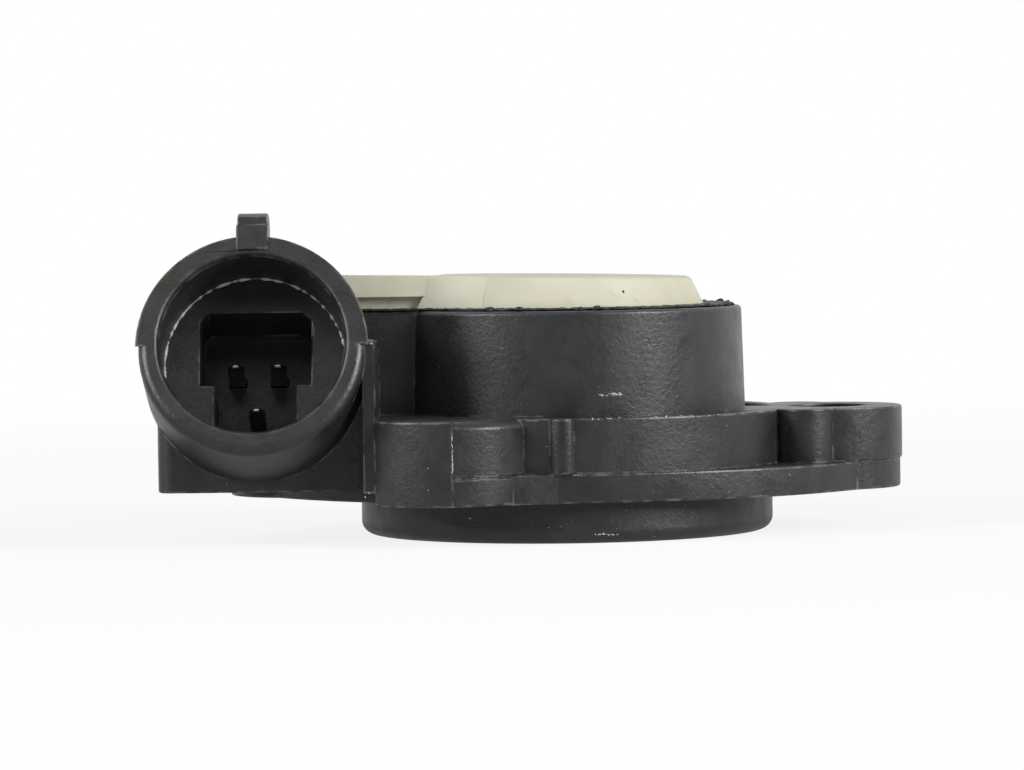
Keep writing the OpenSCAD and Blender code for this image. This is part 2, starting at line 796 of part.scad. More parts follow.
// One terminal: blade, riser, runner along X and the leg that stands on its eyelet
module terminal(x, u, level) {
    riser_x = mouth[0] + x;
    riser_half = pin_w / 2 + riser_shoulder;
    runner_z = runner_first + level * runner_step;
    leg_x = eyelet_first + level * eyelet_pitch;
    blade(x, u, blade_length(u));
    span([riser_x - riser_half, sheet_front, blade_end_z(u) - 0.8 * strip_t],
        [riser_x + riser_half, sheet_back, runner_z + runner_h / 2]);
    span([riser_x - riser_half, sheet_front, runner_z - runner_h / 2],
        [leg_x + strip_t / 2, sheet_back, runner_z + runner_h / 2]);
    span([leg_x - strip_t / 2, sheet_front, board_top + eyelet_flange_t],
        [leg_x + strip_t / 2, sheet_back, runner_z + runner_h / 2]);
}

// The outer left blade has the highest runner, the right blade the lowest
module terminal_a() {
    color(tin) terminal(-pin_pitch / 2, pin_rise, 2);
}

module terminal_b() {
    color(tin) terminal(pin_pitch / 2, pin_rise, 0);
}

module terminal_c() {
    color(tin) terminal(0, -pin_drop, 1);
}

// Compression sleeve in an ear
module mounting_sleeve(side) {
    color(steel) translate([side * ear_x, 0, 0])
        ring(ear_bore_r, sleeve_bore_r, 0, flange_t - sleeve_recess);
}

module mounting_sleeve_left() {
    mounting_sleeve(-1);
}

module mounting_sleeve_right() {
    mounting_sleeve(1);
}

// ROTOR

module rotor() {
    top = spigot_top();
    step = board_top - 0.3;
    lug_from = lug_angle - lug_span / 2;
    color(black_plastic) difference() {
        union() {
            ring(journal_r, drive_r, -journal_drop, drive_depth - journal_drop);
            difference() {
                union() {
                    translate([0, 0, drive_depth - journal_drop - 0.5])
                        cylinder(h = hub_low - drive_depth + journal_drop + 0.5 + 0.1, r = journal_r);
                    translate([0, 0, hub_low]) cylinder(h = disc_low - hub_low + 0.1, r = hub_r);
                    translate([0, 0, disc_low]) cylinder(h = disc_t, r = cavity_r - disc_gap);
                    translate([0, 0, disc_top - 0.1]) cylinder(h = step - disc_top + 0.1, r = shoulder_r);
                    translate([0, 0, step - 0.1]) cylinder(h = top - step + 0.1, r = spigot_r);
                }
                // Slot for the tongue of the shaft, round at its ends
                intersection() {
                    cylinder(h = drive_depth - journal_drop + slot_depth, r = drive_r + slot_ease);
                    translate([-2 * drive_r, -slot_w / 2, 0])
                        cube([4 * drive_r, slot_w, drive_depth - journal_drop + slot_depth]);
                }
                translate([0, 0, -cut])
                    cylinder(h = cut + drive_depth - journal_drop, r = drive_r);
            }
            // Lug that meets the stops
            ring_part(lug_out, lug_in, disc_low - lug_drop, disc_low + 0.5, lug_from,
                lug_from + lug_span);
            // Stakes that hold the wiper, with their spread heads
            rotate([0, 0, wiper_angle]) for (r = [collector_r, track_r])
                translate([r, -2.2, disc_top - 0.1]) {
                    cylinder(h = wiper_t + 0.2, r = stake_r, $fn = 32);
                    translate([0, 0, wiper_t + 0.1]) cylinder(h = 0.3, r = stake_head_r, $fn = 32);
                }
        }
        // Lead-in of the drive bore
        translate([0, 0, -journal_drop - 0.01])
            cylinder(h = 0.4, r1 = drive_r + 0.4, r2 = drive_r);
        // Hole for the spring's upper leg
        rotate([0, 0, anchor_angle + coil_turns * 360])
            translate([coil_r, wire_d, disc_low - cut])
                cylinder(h = disc_t + 2 * cut, r = spring_hole_r, $fn = 32);
    }
}

// Leaf spring in the drive slot: its ends lie on the slot's wall and its middle bows in
module drive_clip() {
    half = drive_r - 0.6;
    bow = 0.55;
    arc_r = (half * half + bow * bow) / (2 * bow);
    low = drive_depth - journal_drop + 0.3;
    color(bronze) translate([0, 0, low]) intersection() {
        translate([0, slot_w / 2 - bow + arc_r, 0]) difference() {
            cylinder(h = slot_depth - 0.6, r = arc_r + clip_t, $fn = 120);
            translate([0, 0, -cut]) cylinder(h = slot_depth + 2, r = arc_r, $fn = 120);
        }
        translate([-half, -slot_w / 2, 0]) cube([2 * half, 2 * slot_w, slot_depth]);
    }
}

// One finger of the wiper from the side: it rises from the plate to a flat tip
module finger_profile() {
    tip = wiper_h;
    t = wiper_t;
    polygon([[-1.2, 0], [-0.5, 0], [4.25, tip - 1.75 * t], [4.6, tip - t], [5, tip - t],
        [5.3, tip - 2 * t], [5.45, tip - t], [5, tip], [4.6, tip], [4.15, tip - 0.75 * t],
        [-0.55, t], [-1.2, t]]);
}

module wiper_contact() {
    plate_in = collector_r - finger_pitch - finger_w / 2 - 0.2;
    plate_out = track_r + finger_pitch + finger_w / 2 + 0.2;
    color(bronze) rotate([0, 0, wiper_angle]) translate([0, 0, disc_top]) {
        difference() {
            translate([plate_in, -3.6, 0]) cube([plate_out - plate_in, 2.6, wiper_t]);
            for (r = [collector_r, track_r])
                translate([r, -2.2, -cut]) cylinder(h = wiper_t + 2 * cut, r = stake_r, $fn = 32);
        }
        for (r = [collector_r, track_r])
            for (i = [-1 : 1])
                translate([r + i * finger_pitch + finger_w / 2, 0, 0])
                    rotate([90, 0, -90]) mirror([1, 0, 0])
                        linear_extrude(height = finger_w) finger_profile();
    }
}

// SPRINGS, WASHERS AND SEAL

// Wire section round a point, in the plane of two unit vectors
wire_sides = 10;
function wire_ring(c, a, b) = [for (k = [0 : wire_sides - 1])
    c + wire_d / 2 * (cos(k * 360 / wire_sides) * a + sin(k * 360 / wire_sides) * b)];

// Radial and tangential unit vectors at an angle
function out_at(a) = [cos(a), sin(a), 0];
function along_at(a) = [-sin(a), cos(a), 0];

// The wire's sections: leg out to its post, coil, and leg up into the disc
function lower_leg() = let (a = anchor_angle, o = out_at(a), t = along_at(a), c = [0, 0, coil_low])
    concat([for (r = [cavity_r - 0.5, lug_in + 0.2])
            wire_ring(c + r * o, -t, [0, 0, 1])],
        [for (k = [60 : -20 : 20]) wire_ring(c + (coil_r + wire_d * (1 - cos(k))) * o
            + wire_d * (1 - sin(k)) * t, cos(k) * o - sin(k) * t, [0, 0, 1])]);
function coil() = [for (k = [10 : 10 : coil_turns * 360]) let (a = anchor_angle + k)
    wire_ring([coil_r * cos(a), coil_r * sin(a), coil_low + coil_pitch * k / 360],
        out_at(a), [0, 0, 1])];
function upper_leg() = let (a = anchor_angle + coil_turns * 360, o = out_at(a), t = along_at(a),
        c = coil_r * o + [0, 0, coil_high])
    concat([for (k = [30 : 30 : 90]) wire_ring(c + wire_d * sin(k) * t
            + [0, 0, wire_d * (1 - cos(k))], o, [0, 0, cos(k)] - sin(k) * t)],
        [wire_ring([c[0] + wire_d * t[0], c[1] + wire_d * t[1], disc_top - 0.1], o, -t)]);

module return_spring() {
    rings = concat(lower_leg(), coil(), upper_leg());
    n = wire_sides;
    last = (len(rings) - 1) * n;
    color(steel) polyhedron(
        points = [for (r = rings) for (p = r) p],
        faces = concat([[for (k = [0 : n - 1]) k]],
            [for (i = [0 : len(rings) - 2]) for (k = [0 : n - 1]) let (k2 = (k + 1) % n)
                [i * n + k, (i + 1) * n + k, (i + 1) * n + k2, i * n + k2]],
            [[for (k = [n - 1 : -1 : 0]) last + k]]));
}

module thrust_washer() {
    color(steel) ring(hub_r, bearing_r, floor_top, floor_top + washer_t);
}

// Wave washer on the upper journal, three waves round
module wave_washer() {
    n = 72;
    r_in = spigot_r + 0.2;
    r_out = bearing_boss_r - 0.3;
    mid = (board_top - 0.3 + board_top + 0.7) / 2;
    corners = [for (i = [0 : n - 1]) let (a = i * 360 / n, z = mid + wave_h * sin(3 * a))
        for (c = [[r_in, -1], [r_out, -1], [r_out, 1], [r_in, 1]])
            [c[0] * cos(a), c[0] * sin(a), z + c[1] * wave_t / 2]];
    color(steel) polyhedron(points = corners,
        faces = [for (i = [0 : n - 1]) for (k = [0 : 3]) let (j = (i + 1) % n, k2 = (k + 1) % 4)
            [i * 4 + k, i * 4 + k2, j * 4 + k2, j * 4 + k]]);
}

// Lip seal: a ring in the sleeve with a lip that runs on the journal
module rotor_seal() {
    lip = bearing_r;
    color(black_compound) rotate_extrude() polygon([[seal_r, seal_low], [seal_r, seal_top],
        [lip + 0.8, seal_top], [lip + 0.8, seal_top - 0.5], [seal_r - 0.9, seal_top - 0.6],
        [seal_r - 0.9, seal_low + 0.8], [lip + 0.6, seal_low + 0.9], [lip, seal_low + 0.6],
        [lip, seal_low + 0.35], [lip + 0.6, seal_low]]);
}

module seal_retainer() {
    color(steel) ring(seal_r, bearing_r + 0.5, seal_low - retainer_t, seal_low);
}

// BOARD AND TRACKS

track_from = 76;
track_to = 193;
collector_from = 84;
collector_to = 213;
eyelet_xy = [for (level = [0 : 2]) [eyelet_first + level * eyelet_pitch, sheet_mid]];

module resistor_board() {
    color([0.36, 0.28, 0.2]) difference() {
        ring(pocket_r - fit_gap, board_hole_r, board_low, board_top);
        for (p = eyelet_xy)
            translate([p[0], p[1], board_low - cut]) cylinder(h = board_t + 2 * cut, r = eyelet_r);
    }
}

module resistance_track() {
    color(black_compound) ring_part(track_r + track_w / 2, track_r - track_w / 2, print_low,
        board_low, track_from, track_to);
}

module collector_track() {
    color([0.2, 0.2, 0.22]) ring_part(collector_r + track_w / 2, collector_r - track_w / 2,
        print_low, board_low, collector_from, collector_to);
}

// Silver traces from the tracks' ends to the eyelets
module board_traces() {
    angles = [for (p = eyelet_xy) atan2(p[1], p[0]) + 360];
    radii = [for (p = eyelet_xy) norm(p)];
    color(tin) difference() {
        union() {
            // Right end of the track to the first eyelet
            ring_part(radii[0] + 0.3, radii[0] - 0.6, print_low, board_low, track_to, angles[0] + 2);
            ring_part(radii[0], track_r - track_w / 2, print_low, board_low, track_to, track_to + 4);
            // Collector to the second eyelet
            rotate([0, 0, angles[1]]) span([collector_r + track_w / 2, -0.3, print_low],
                [radii[1] + 0.3, 0.3, board_low]);
            // Left end of the track to the third eyelet, the long way round
            ring_part(track_r + 0.6, track_r - 0.6, print_low, board_low, angles[2] - 361.3,
                track_from);
        }
        for (p = eyelet_xy)
            translate([p[0], p[1], print_low - cut]) cylinder(h = print_t + 2 * cut, r = eyelet_r);
    }
}

module board_eyelets() {
    color(tin) for (p = eyelet_xy) translate([p[0], p[1], 0]) union() {
        translate([0, 0, print_low - eyelet_flange_t])
            cylinder(h = board_top - print_low + 2 * eyelet_flange_t, r = eyelet_r, $fn = 32);
        for (z = [print_low - eyelet_flange_t, board_top])
            translate([0, 0, z]) cylinder(h = eyelet_flange_t, r = eyelet_flange_r, $fn = 32);
    }
}

housing();
cover();
cover_sealant();
terminal_a();
terminal_b();
terminal_c();
terminal_sealant();
mounting_sleeve_left();
mounting_sleeve_right();
rotor();
drive_clip();
wiper_contact();
return_spring();
thrust_washer();
wave_washer();
rotor_seal();
seal_retainer();
resistor_board();
resistance_track();
collector_track();
board_traces();
board_eyelets();
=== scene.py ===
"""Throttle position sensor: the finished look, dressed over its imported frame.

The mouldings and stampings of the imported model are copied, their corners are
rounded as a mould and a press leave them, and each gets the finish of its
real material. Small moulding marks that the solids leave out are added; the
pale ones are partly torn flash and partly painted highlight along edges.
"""
import json
import logging
import math
import random
from dataclasses import dataclass, field
from enum import Enum
from typing import Any, Callable, Iterable

import bmesh
import bpy
from mathutils import Matrix, Vector, noise
from mathutils.bvhtree import BVHTree


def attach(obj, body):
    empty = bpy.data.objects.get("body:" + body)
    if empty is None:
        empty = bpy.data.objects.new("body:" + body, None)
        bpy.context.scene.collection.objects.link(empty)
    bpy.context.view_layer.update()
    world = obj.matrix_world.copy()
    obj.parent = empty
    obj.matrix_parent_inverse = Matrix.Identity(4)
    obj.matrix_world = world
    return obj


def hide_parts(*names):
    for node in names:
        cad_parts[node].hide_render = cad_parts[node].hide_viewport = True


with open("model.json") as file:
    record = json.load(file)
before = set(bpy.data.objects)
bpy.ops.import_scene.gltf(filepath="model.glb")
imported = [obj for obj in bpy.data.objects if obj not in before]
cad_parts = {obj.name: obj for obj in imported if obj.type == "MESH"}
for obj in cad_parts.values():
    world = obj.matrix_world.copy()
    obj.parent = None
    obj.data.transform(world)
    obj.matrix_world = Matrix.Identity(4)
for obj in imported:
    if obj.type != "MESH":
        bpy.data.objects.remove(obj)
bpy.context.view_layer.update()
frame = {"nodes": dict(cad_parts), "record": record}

LOG = logging.getLogger("sensor")
MM = 0.001
FLAT_ANGLE = math.radians(0.3)

# Which edges are rounded: angles between their two faces, and lengths.
ROUND_FROM = math.radians(30)
ROUND_TO = math.radians(140)
SMOOTH_ANGLE = math.radians(32)
SHORTEST_EDGE = 0.25
KEEP_AWAY = 0.6 * MM
LEAST_REACH = 0.2 * MM

# How far a rounded point may leave the real surface, in widths of the rounding.
STRAY = 0.75
TURNED_OVER = -0.3
TINY_AREA = 1e-10


# Small helpers

def linear(colour: str) -> tuple[float, float, float, float]:
    """Turn an sRGB hex colour into linear values.

    Args:
        colour: six hex digits after a hash.

    Returns:
        Red, green, blue and an alpha of one.
    """
    parts = [int(colour[i:i + 2], 16) / 255 for i in (1, 3, 5)]
    rgb = [c / 12.92 if c <= 0.04045 else ((c + 0.055) / 1.055) ** 2.4 for c in parts]
    return rgb[0], rgb[1], rgb[2], 1.0


def per_mm(size: float) -> float:
    """Return the texture scale whose features are this many millimetres wide."""
    return 1.0 / (size * MM)


def add(tree: bpy.types.NodeTree, kind: str, links: dict[Any, Any] | None = None,
        **settings: Any) -> bpy.types.Node:
    """Add one node with its settings and the values or links of its inputs.

    Args:
        tree: the node tree that gets the node.
        kind: the node's Blender type.
        links: input name or number, and the value or the socket it takes.
        settings: properties of the node itself.

    Returns:
        The new node.
    """
    node = tree.nodes.new(kind)
    for key, value in settings.items():
        setattr(node, key, value)
    for key, value in (links or {}).items():
        if isinstance(value, bpy.types.NodeSocket):
            tree.links.new(value, node.inputs[key])
        else:
            node.inputs[key].default_value = value
    return node


def fresh(name: str) -> tuple[bpy.types.Material, bpy.types.NodeTree, bpy.types.Node]:
    """Make an empty node material.

    Args:
        name: the material's name.

    Returns:
        The material, its node tree and its output node.
    """
    material = bpy.data.materials.new(name)
    material.use_nodes = True
    tree = material.node_tree
    tree.nodes.clear()
    return material, tree, tree.nodes.new("ShaderNodeOutputMaterial")


def only(piece: bpy.types.Object) -> None:
    """Select one object alone and make it the active one."""
    bpy.ops.object.select_all(action="DESELECT")
    piece.select_set(True)
    bpy.context.view_layer.objects.active = piece


def pick(piece: bpy.types.Object, kind: str, test: Callable[[Any], bool]) -> None:
    """Select the vertices, edges or faces of the piece in edit mode that pass a test.

    Args:
        piece: the object that is in edit mode.
        kind: VERT, EDGE or FACE.
        test: says whether an element is selected.
    """
    bpy.ops.mesh.select_mode(type=kind)
    bpy.ops.mesh.select_all(action="DESELECT")
    grid = bmesh.from_edit_mesh(piece.data)
    parts = {"VERT": grid.verts, "EDGE": grid.edges, "FACE": grid.faces}[kind]
    for element in [part for part in parts if test(part)]:
        element.select_set(True)
    bmesh.update_edit_mesh(piece.data)


def finish_piece(piece: bpy.types.Object, name: str, material: bpy.types.Material,
                 body: str, slot: str, *nodes: str) -> None:
    """Name and dress a piece, hang it on its body and hide the nodes it stands for.

    Args:
        piece: the object.
        name: its new name.
        material: its finish.
        body: the body that it moves with.
        slot: the material slot that it belongs to; not used.
        nodes: the CAD nodes that it stands for.
    """
    piece.name = piece.data.name = name
    piece.data.materials.clear()
    piece.data.materials.append(material)
    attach(piece, body)
    if nodes:
        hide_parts(*nodes)
    LOG.info("%s: %d faces, on %s", name, len(piece.data.polygons), body)


def clean(piece: bpy.types.Object, gap: float) -> None:
    """Merge the doubles of a piece and make its flat areas whole.

    Args:
        piece: the object.
        gap: points nearer than this, in metres, become one.
    """
    only(piece)
    bpy.ops.object.mode_set(mode="EDIT")
    bpy.ops.mesh.select_all(action="SELECT")
    bpy.ops.mesh.remove_doubles(threshold=gap)
    bpy.ops.mesh.dissolve_limited(angle_limit=FLAT_ANGLE)
    bpy.ops.object.mode_set(mode="OBJECT")


def copy_node(node: str) -> bpy.types.Object:
    """Copy a CAD node's mesh into a new object, joined up and with flat areas whole.

    Args:
        node: the CAD node's name.

    Returns:
        The copy, as an object of its own.
    """
    mesh = frame["nodes"][node].data.copy()
    piece = bpy.data.objects.new(node + "_copy", mesh)
    bpy.context.scene.collection.objects.link(piece)
    only(piece)
    bpy.ops.object.mode_set(mode="EDIT")
    bpy.ops.mesh.customdata_custom_splitnormals_clear()
    bpy.ops.object.mode_set(mode="OBJECT")
    clean(piece, 1e-6)
    return piece


def twin(piece: bpy.types.Object) -> bpy.types.Object:
    """Copy a piece with a mesh of its own, selected alone.

    Args:
        piece: the object to copy.

    Returns:
        The copy.
    """
    copy = bpy.data.objects.new(piece.name + "_twin", piece.data.copy())
    bpy.context.scene.collection.objects.link(copy)
    only(copy)
    return copy


def strays(piece: bpy.types.Object, source: BVHTree, radius: float) -> list[Vector]:
    """Find where a rounded piece leaves the surface of the sharp one.

    Args:
        piece: the rounded piece.
        source: the sharp piece's surface.
        radius: width of the rounding in metres.

    Returns:
        One point for each face that strays or is turned over.
    """
    found = []
    for face in piece.data.polygons:
        for spot in (face.center, *(piece.data.vertices[i].co for i in face.vertices)):
            if source.find_nearest(spot)[3] > STRAY * radius:
                found.append(spot.copy())
                break
        else:
            normal = source.find_nearest(face.center)[1]
            if normal.dot(face.normal) < TURNED_OVER and face.area > TINY_AREA:
                found.append(face.center.copy())
    return found


def soften(base: bpy.types.Object, radius: float, steps: int = 2,
           tries: int = 6) -> bpy.types.Object:
    """Round the outer edges of a piece.

    An edge whose rounding would throw a point off the real surface is left
    sharp, and the piece is made again without it.

    Args:
        base: the sharp piece, which is used up.
        radius: width of the rounding in metres.
        steps: segments across the rounding.
        tries: how often the piece is made again.

    Returns:
        The rounded piece.
    """
    source = BVHTree.FromObject(base, bpy.context.evaluated_depsgraph_get())
    spoiled: list[Vector] = []
    for attempt in range(tries):
        piece = twin(base)

        def roundable(edge: Any) -> bool:
            """Say whether this edge is a clean convex corner."""
            if len(edge.link_faces) != 2 or edge.calc_length() < SHORTEST_EDGE * radius:
                return False
            if not edge.is_convex or edge.calc_face_angle() < ROUND_FROM:
                return False
            if edge.calc_face_angle() > ROUND_TO:
                return False
            middle = (edge.verts[0].co + edge.verts[1].co) / 2
            reach = max(edge.calc_length() / 2, LEAST_REACH) + KEEP_AWAY
            return all((middle - spot).length > reach for spot in spoiled)

        bpy.ops.object.mode_set(mode="EDIT")
        pick(piece, "EDGE", roundable)
        bpy.ops.mesh.bevel(offset=radius, offset_type="OFFSET", segments=steps, affect="EDGES",
                           clamp_overlap=False, miter_outer="SHARP")
        bpy.ops.object.mode_set(mode="OBJECT")
        found = strays(piece, source, radius)
        if not found or attempt == tries - 1:
            LOG.info("%s: rounded in %d tries, %d spots left", base.name, attempt + 1, len(found))
            break
        spoiled += found
        bpy.data.objects.remove(piece)
    bpy.data.objects.remove(base)
    only(piece)
    bpy.ops.object.shade_smooth_by_angle(angle=SMOOTH_ANGLE)
    even = piece.modifiers.new("even_normals", "WEIGHTED_NORMAL")
    even.keep_sharp = True
    bpy.ops.object.modifier_apply(modifier="even_normals")
    return piece


def block(low: Iterable[float], high: Iterable[float]) -> bpy.types.Object:
    """Make a box between two corners.

    Args:
        low: the lowest corner in millimetres.
        high: the highest corner in millimetres.

    Returns:
        The box.
    """
    low, high = Vector(low) * MM, Vector(high) * MM
    bpy.ops.object.select_all(action="DESELECT")
    bpy.ops.mesh.primitive_cube_add(size=1.0, location=(low + high) / 2)
    made = bpy.context.active_object
    made.scale = high - low
    bpy.ops.object.transform_apply(location=True, rotation=True, scale=True)
    return made


def rod(x: float, y: float, radius: float, low: float, high: float,
        steps: int = 128) -> bpy.types.Object:
    """Make an upright cylinder between two heights, all in millimetres.

    Args:
        x: place of its axis to the right.
        y: place of its axis to the back.
        radius: its radius.
        low: height of its foot.
        high: height of its top.
        steps: corners of its outline.

    Returns:
        The cylinder.
    """
    bpy.ops.object.select_all(action="DESELECT")
    bpy.ops.mesh.primitive_cylinder_add(
        vertices=steps, radius=radius * MM, depth=(high - low) * MM,
        location=(x * MM, y * MM, (low + high) / 2 * MM))
    bpy.ops.object.transform_apply(location=True)
    return bpy.context.active_object


def combine(piece: bpy.types.Object, tool: bpy.types.Object, operation: str) -> None:
    """Unite a piece with a tool, cut the tool out of it or keep what both share.

    Args:
        piece: the piece that is changed.
        tool: the other solid, which is used up.
        operation: UNION, DIFFERENCE or INTERSECT.
    """
    only(piece)
    change = piece.modifiers.new("change", "BOOLEAN")
    change.operation = operation
    change.solver = "EXACT"
    change.object = tool
    bpy.ops.object.modifier_apply(modifier="change")
    bpy.data.objects.remove(tool)


# Finishes

@dataclass(frozen=True)
class GlassFilledPlastic:
    """Glass-filled polyester, injection moulded: a dull dark skin with a fine
    bite, cloudy where the melt flowed, with pale glass flecks and rubbed corners."""

    name: str
    dark: str = "#1e1e1f"
    light: str = "#2a2a2b"
    stain: str = "#2a2b23"
    rubbed: str = "#767673"
    fleck: str = "#9a9a94"
    roughness: float = 0.4
    grain_mm: float = 0.42
    depth_mm: float = 0.045
    cloud_mm: float = 2.6
    patch_mm: float = 9.0
    fleck_mm: float = 1.0
    rub_mm: float = 1.4
    swell_mm: float = 3.5
    corner_mm: float = 0.3
    ior: float = 1.57
    gloss: float = 0.65

    def build(self) -> bpy.types.Material:
        """Build the material.

        Returns:
            The finished node material.
        """
        material, t, out = fresh(self.name)
        place = add(t, "ShaderNodeTexCoord").outputs["Object"]
        cloud = add(t, "ShaderNodeTexNoise", {"Vector": place, "Scale": per_mm(self.cloud_mm),
                                              "Detail": 7.0, "Roughness": 0.62})
        cloudy = add(t, "ShaderNodeMapRange", {"Value": cloud.outputs["Fac"], 1: 0.34, 2: 0.7})
        base = add(t, "ShaderNodeMix", {"Factor": cloudy.outputs[0], 6: linear(self.dark),
                                        7: linear(self.light)}, data_type="RGBA")
        patch = add(t, "ShaderNodeTexNoise", {"Vector": place, "Scale": per_mm(self.patch_mm),
                                              "Detail": 3.0})
        patchy = add(t, "ShaderNodeMapRange", {"Value": patch.outputs["Fac"], 1: 0.5, 2: 0.72,
                                               4: 0.7})
        stained = add(t, "ShaderNodeMix", {"Factor": patchy.outputs[0], 6: base.outputs[2],
                                           7: linear(self.stain)}, data_type="RGBA")
        # Pale ends of glass fibre: few, small and scattered.
        cells = add(t, "ShaderNodeTexVoronoi", {"Vector": place, "Scale": per_mm(self.fleck_mm)})
        lone = add(t, "ShaderNodeSeparateColor", {"Color": cells.outputs["Color"]})
        rare = add(t, "ShaderNodeMath", {0: lone.outputs[0], 1: 0.9}, operation="GREATER_THAN")
        near = add(t, "ShaderNodeMath", {0: cells.outputs["Distance"], 1: 0.06},
                   operation="LESS_THAN")
        dot = add(t, "ShaderNodeMath", {0: rare.outputs[0], 1: near.outputs[0]},
                  operation="MULTIPLY")
        flecked = add(t, "ShaderNodeMix", {"Factor": dot.outputs[0], 6: stained.outputs[2],
                                           7: linear(self.fleck)}, data_type="RGBA")
        # Rubbed corners: where the rounded normal leaves the real one.
        soft = add(t, "ShaderNodeBevel", {"Radius": self.corner_mm * MM}, samples=4)
        plain = add(t, "ShaderNodeNewGeometry")
        turn = add(t, "ShaderNodeVectorMath", {0: soft.outputs[0], 1: plain.outputs["True Normal"]},
                   operation="DOT_PRODUCT")
        edge = add(t, "ShaderNodeMapRange", {"Value": turn.outputs["Value"], 1: 0.992, 2: 0.92})
        rub = add(t, "ShaderNodeTexNoise", {"Vector": place, "Scale": per_mm(self.rub_mm),
                                            "Detail": 4.0})
        worn = add(t, "ShaderNodeMapRange", {"Value": rub.outputs["Fac"], 1: 0.44, 2: 0.62})
        wear = add(t, "ShaderNodeMath", {0: edge.outputs[0], 1: worn.outputs[0]},
                   operation="MULTIPLY")
        colour = add(t, "ShaderNodeMix", {"Factor": wear.outputs[0], 6: flecked.outputs[2],
                                          7: linear(self.rubbed)}, data_type="RGBA")
        grain = add(t, "ShaderNodeTexNoise", {"Vector": place, "Scale": per_mm(self.grain_mm),
                                              "Detail": 3.0, "Roughness": 0.6})
        swell = add(t, "ShaderNodeTexNoise", {"Vector": place, "Scale": per_mm(self.swell_mm),
                                              "Detail": 2.0})
        low = add(t, "ShaderNodeBump", {"Height": swell.outputs["Fac"], "Distance": 0.05 * MM})
        bump = add(t, "ShaderNodeBump", {"Height": grain.outputs["Fac"],
                                         "Distance": self.depth_mm * MM,
                                         "Normal": low.outputs[0]})
        rough = add(t, "ShaderNodeMapRange", {"Value": cloud.outputs["Fac"], 1: 0.3, 2: 0.7,
                                              3: self.roughness - 0.06,
                                              4: self.roughness + 0.1})
        skin = add(t, "ShaderNodeBsdfPrincipled",
                   {"Base Color": colour.outputs[2], "Roughness": rough.outputs[0],
                    "IOR": self.ior, "Specular IOR Level": self.gloss,
                    "Normal": bump.outputs[0]})
        t.links.new(skin.outputs[0], out.inputs["Surface"])
        return material


@dataclass(frozen=True)
class NaturalPlastic:
    """Unfilled natural polyester, injection moulded: satin cream that lets a
    little light in, so its corners glow and its colour drifts slightly."""

    name: str
    light: str = "#d9d6c3"
    deep: str = "#cdcab4"
    shade: str = "#b3b19c"
    roughness: float = 0.58
    ior: float = 1.5
    drift_mm: float = 7.0
    smear_mm: float = 1.6
    grain_mm: float = 0.35
    depth_mm: float = 0.008
    glow_mm: float = 0.6

    def build(self) -> bpy.types.Material:
        """Build the material.

        Returns:
            The finished node material.
        """
        material, t, out = fresh(self.name)
        place = add(t, "ShaderNodeTexCoord").outputs["Object"]
        drift = add(t, "ShaderNodeTexNoise", {"Vector": place, "Scale": per_mm(self.drift_mm),
                                              "Detail": 4.0})
        drifted = add(t, "ShaderNodeMapRange", {"Value": drift.outputs["Fac"], 1: 0.32, 2: 0.68})
        base = add(t, "ShaderNodeMix", {"Factor": drifted.outputs[0], 6: linear(self.deep),
                                        7: linear(self.light)}, data_type="RGBA")
        smear = add(t, "ShaderNodeTexNoise", {"Vector": place, "Scale": per_mm(self.smear_mm),
                                              "Detail": 5.0})
        smeared = add(t, "ShaderNodeMapRange", {"Value": smear.outputs["Fac"], 1: 0.6, 2: 0.78,
                                                4: 0.6})
        colour = add(t, "ShaderNodeMix", {"Factor": smeared.outputs[0], 6: base.outputs[2],
                                          7: linear(self.shade)}, data_type="RGBA")
        grain = add(t, "ShaderNodeTexNoise", {"Vector": place, "Scale": per_mm(self.grain_mm),
                                              "Detail": 3.0})
        bump = add(t, "ShaderNodeBump", {"Height": grain.outputs["Fac"],
                                         "Distance": self.depth_mm * MM})
        skin = add(t, "ShaderNodeBsdfPrincipled",
                   {"Base Color": colour.outputs[2], "Roughness": self.roughness, "IOR": self.ior,
                    "Subsurface Weight": 0.12, "Subsurface Scale": self.glow_mm * MM,
                    "Normal": bump.outputs[0]})
        t.links.new(skin.outputs[0], out.inputs["Surface"])
        return material


@dataclass(frozen=True)
class SoftBlack:
    """A black elastic material: poured and cured sealing compound, or moulded
    seal rubber. It gives a dull skin with soft lumps and a thin sheen."""

    name: str
    dark: str = "#141414"
    light: str = "#262625"
    roughness: float = 0.48
    lump_mm: float = 0.8
    depth_mm: float = 0.06
    ior: float = 1.45

    def build(self) -> bpy.types.Material:
        """Build the material.

        Returns:
            The finished node material.
        """
        material, t, out = fresh(self.name)
        place = add(t, "ShaderNodeTexCoord").outputs["Object"]
        lumps = add(t, "ShaderNodeTexNoise", {"Vector": place, "Scale": per_mm(self.lump_mm),
                                              "Detail": 5.0, "Roughness": 0.6})
        colour = add(t, "ShaderNodeMix", {"Factor": lumps.outputs["Fac"], 6: linear(self.dark),
                                          7: linear(self.light)}, data_type="RGBA")
        bump = add(t, "ShaderNodeBump", {"Height": lumps.outputs["Fac"],
                                         "Distance": self.depth_mm * MM})
        skin = add(t, "ShaderNodeBsdfPrincipled",
                   {"Base Color": colour.outputs[2], "Roughness": self.roughness, "IOR": self.ior,
                    "Normal": bump.outputs[0]})
        t.links.new(skin.outputs[0], out.inputs["Surface"])
        return material


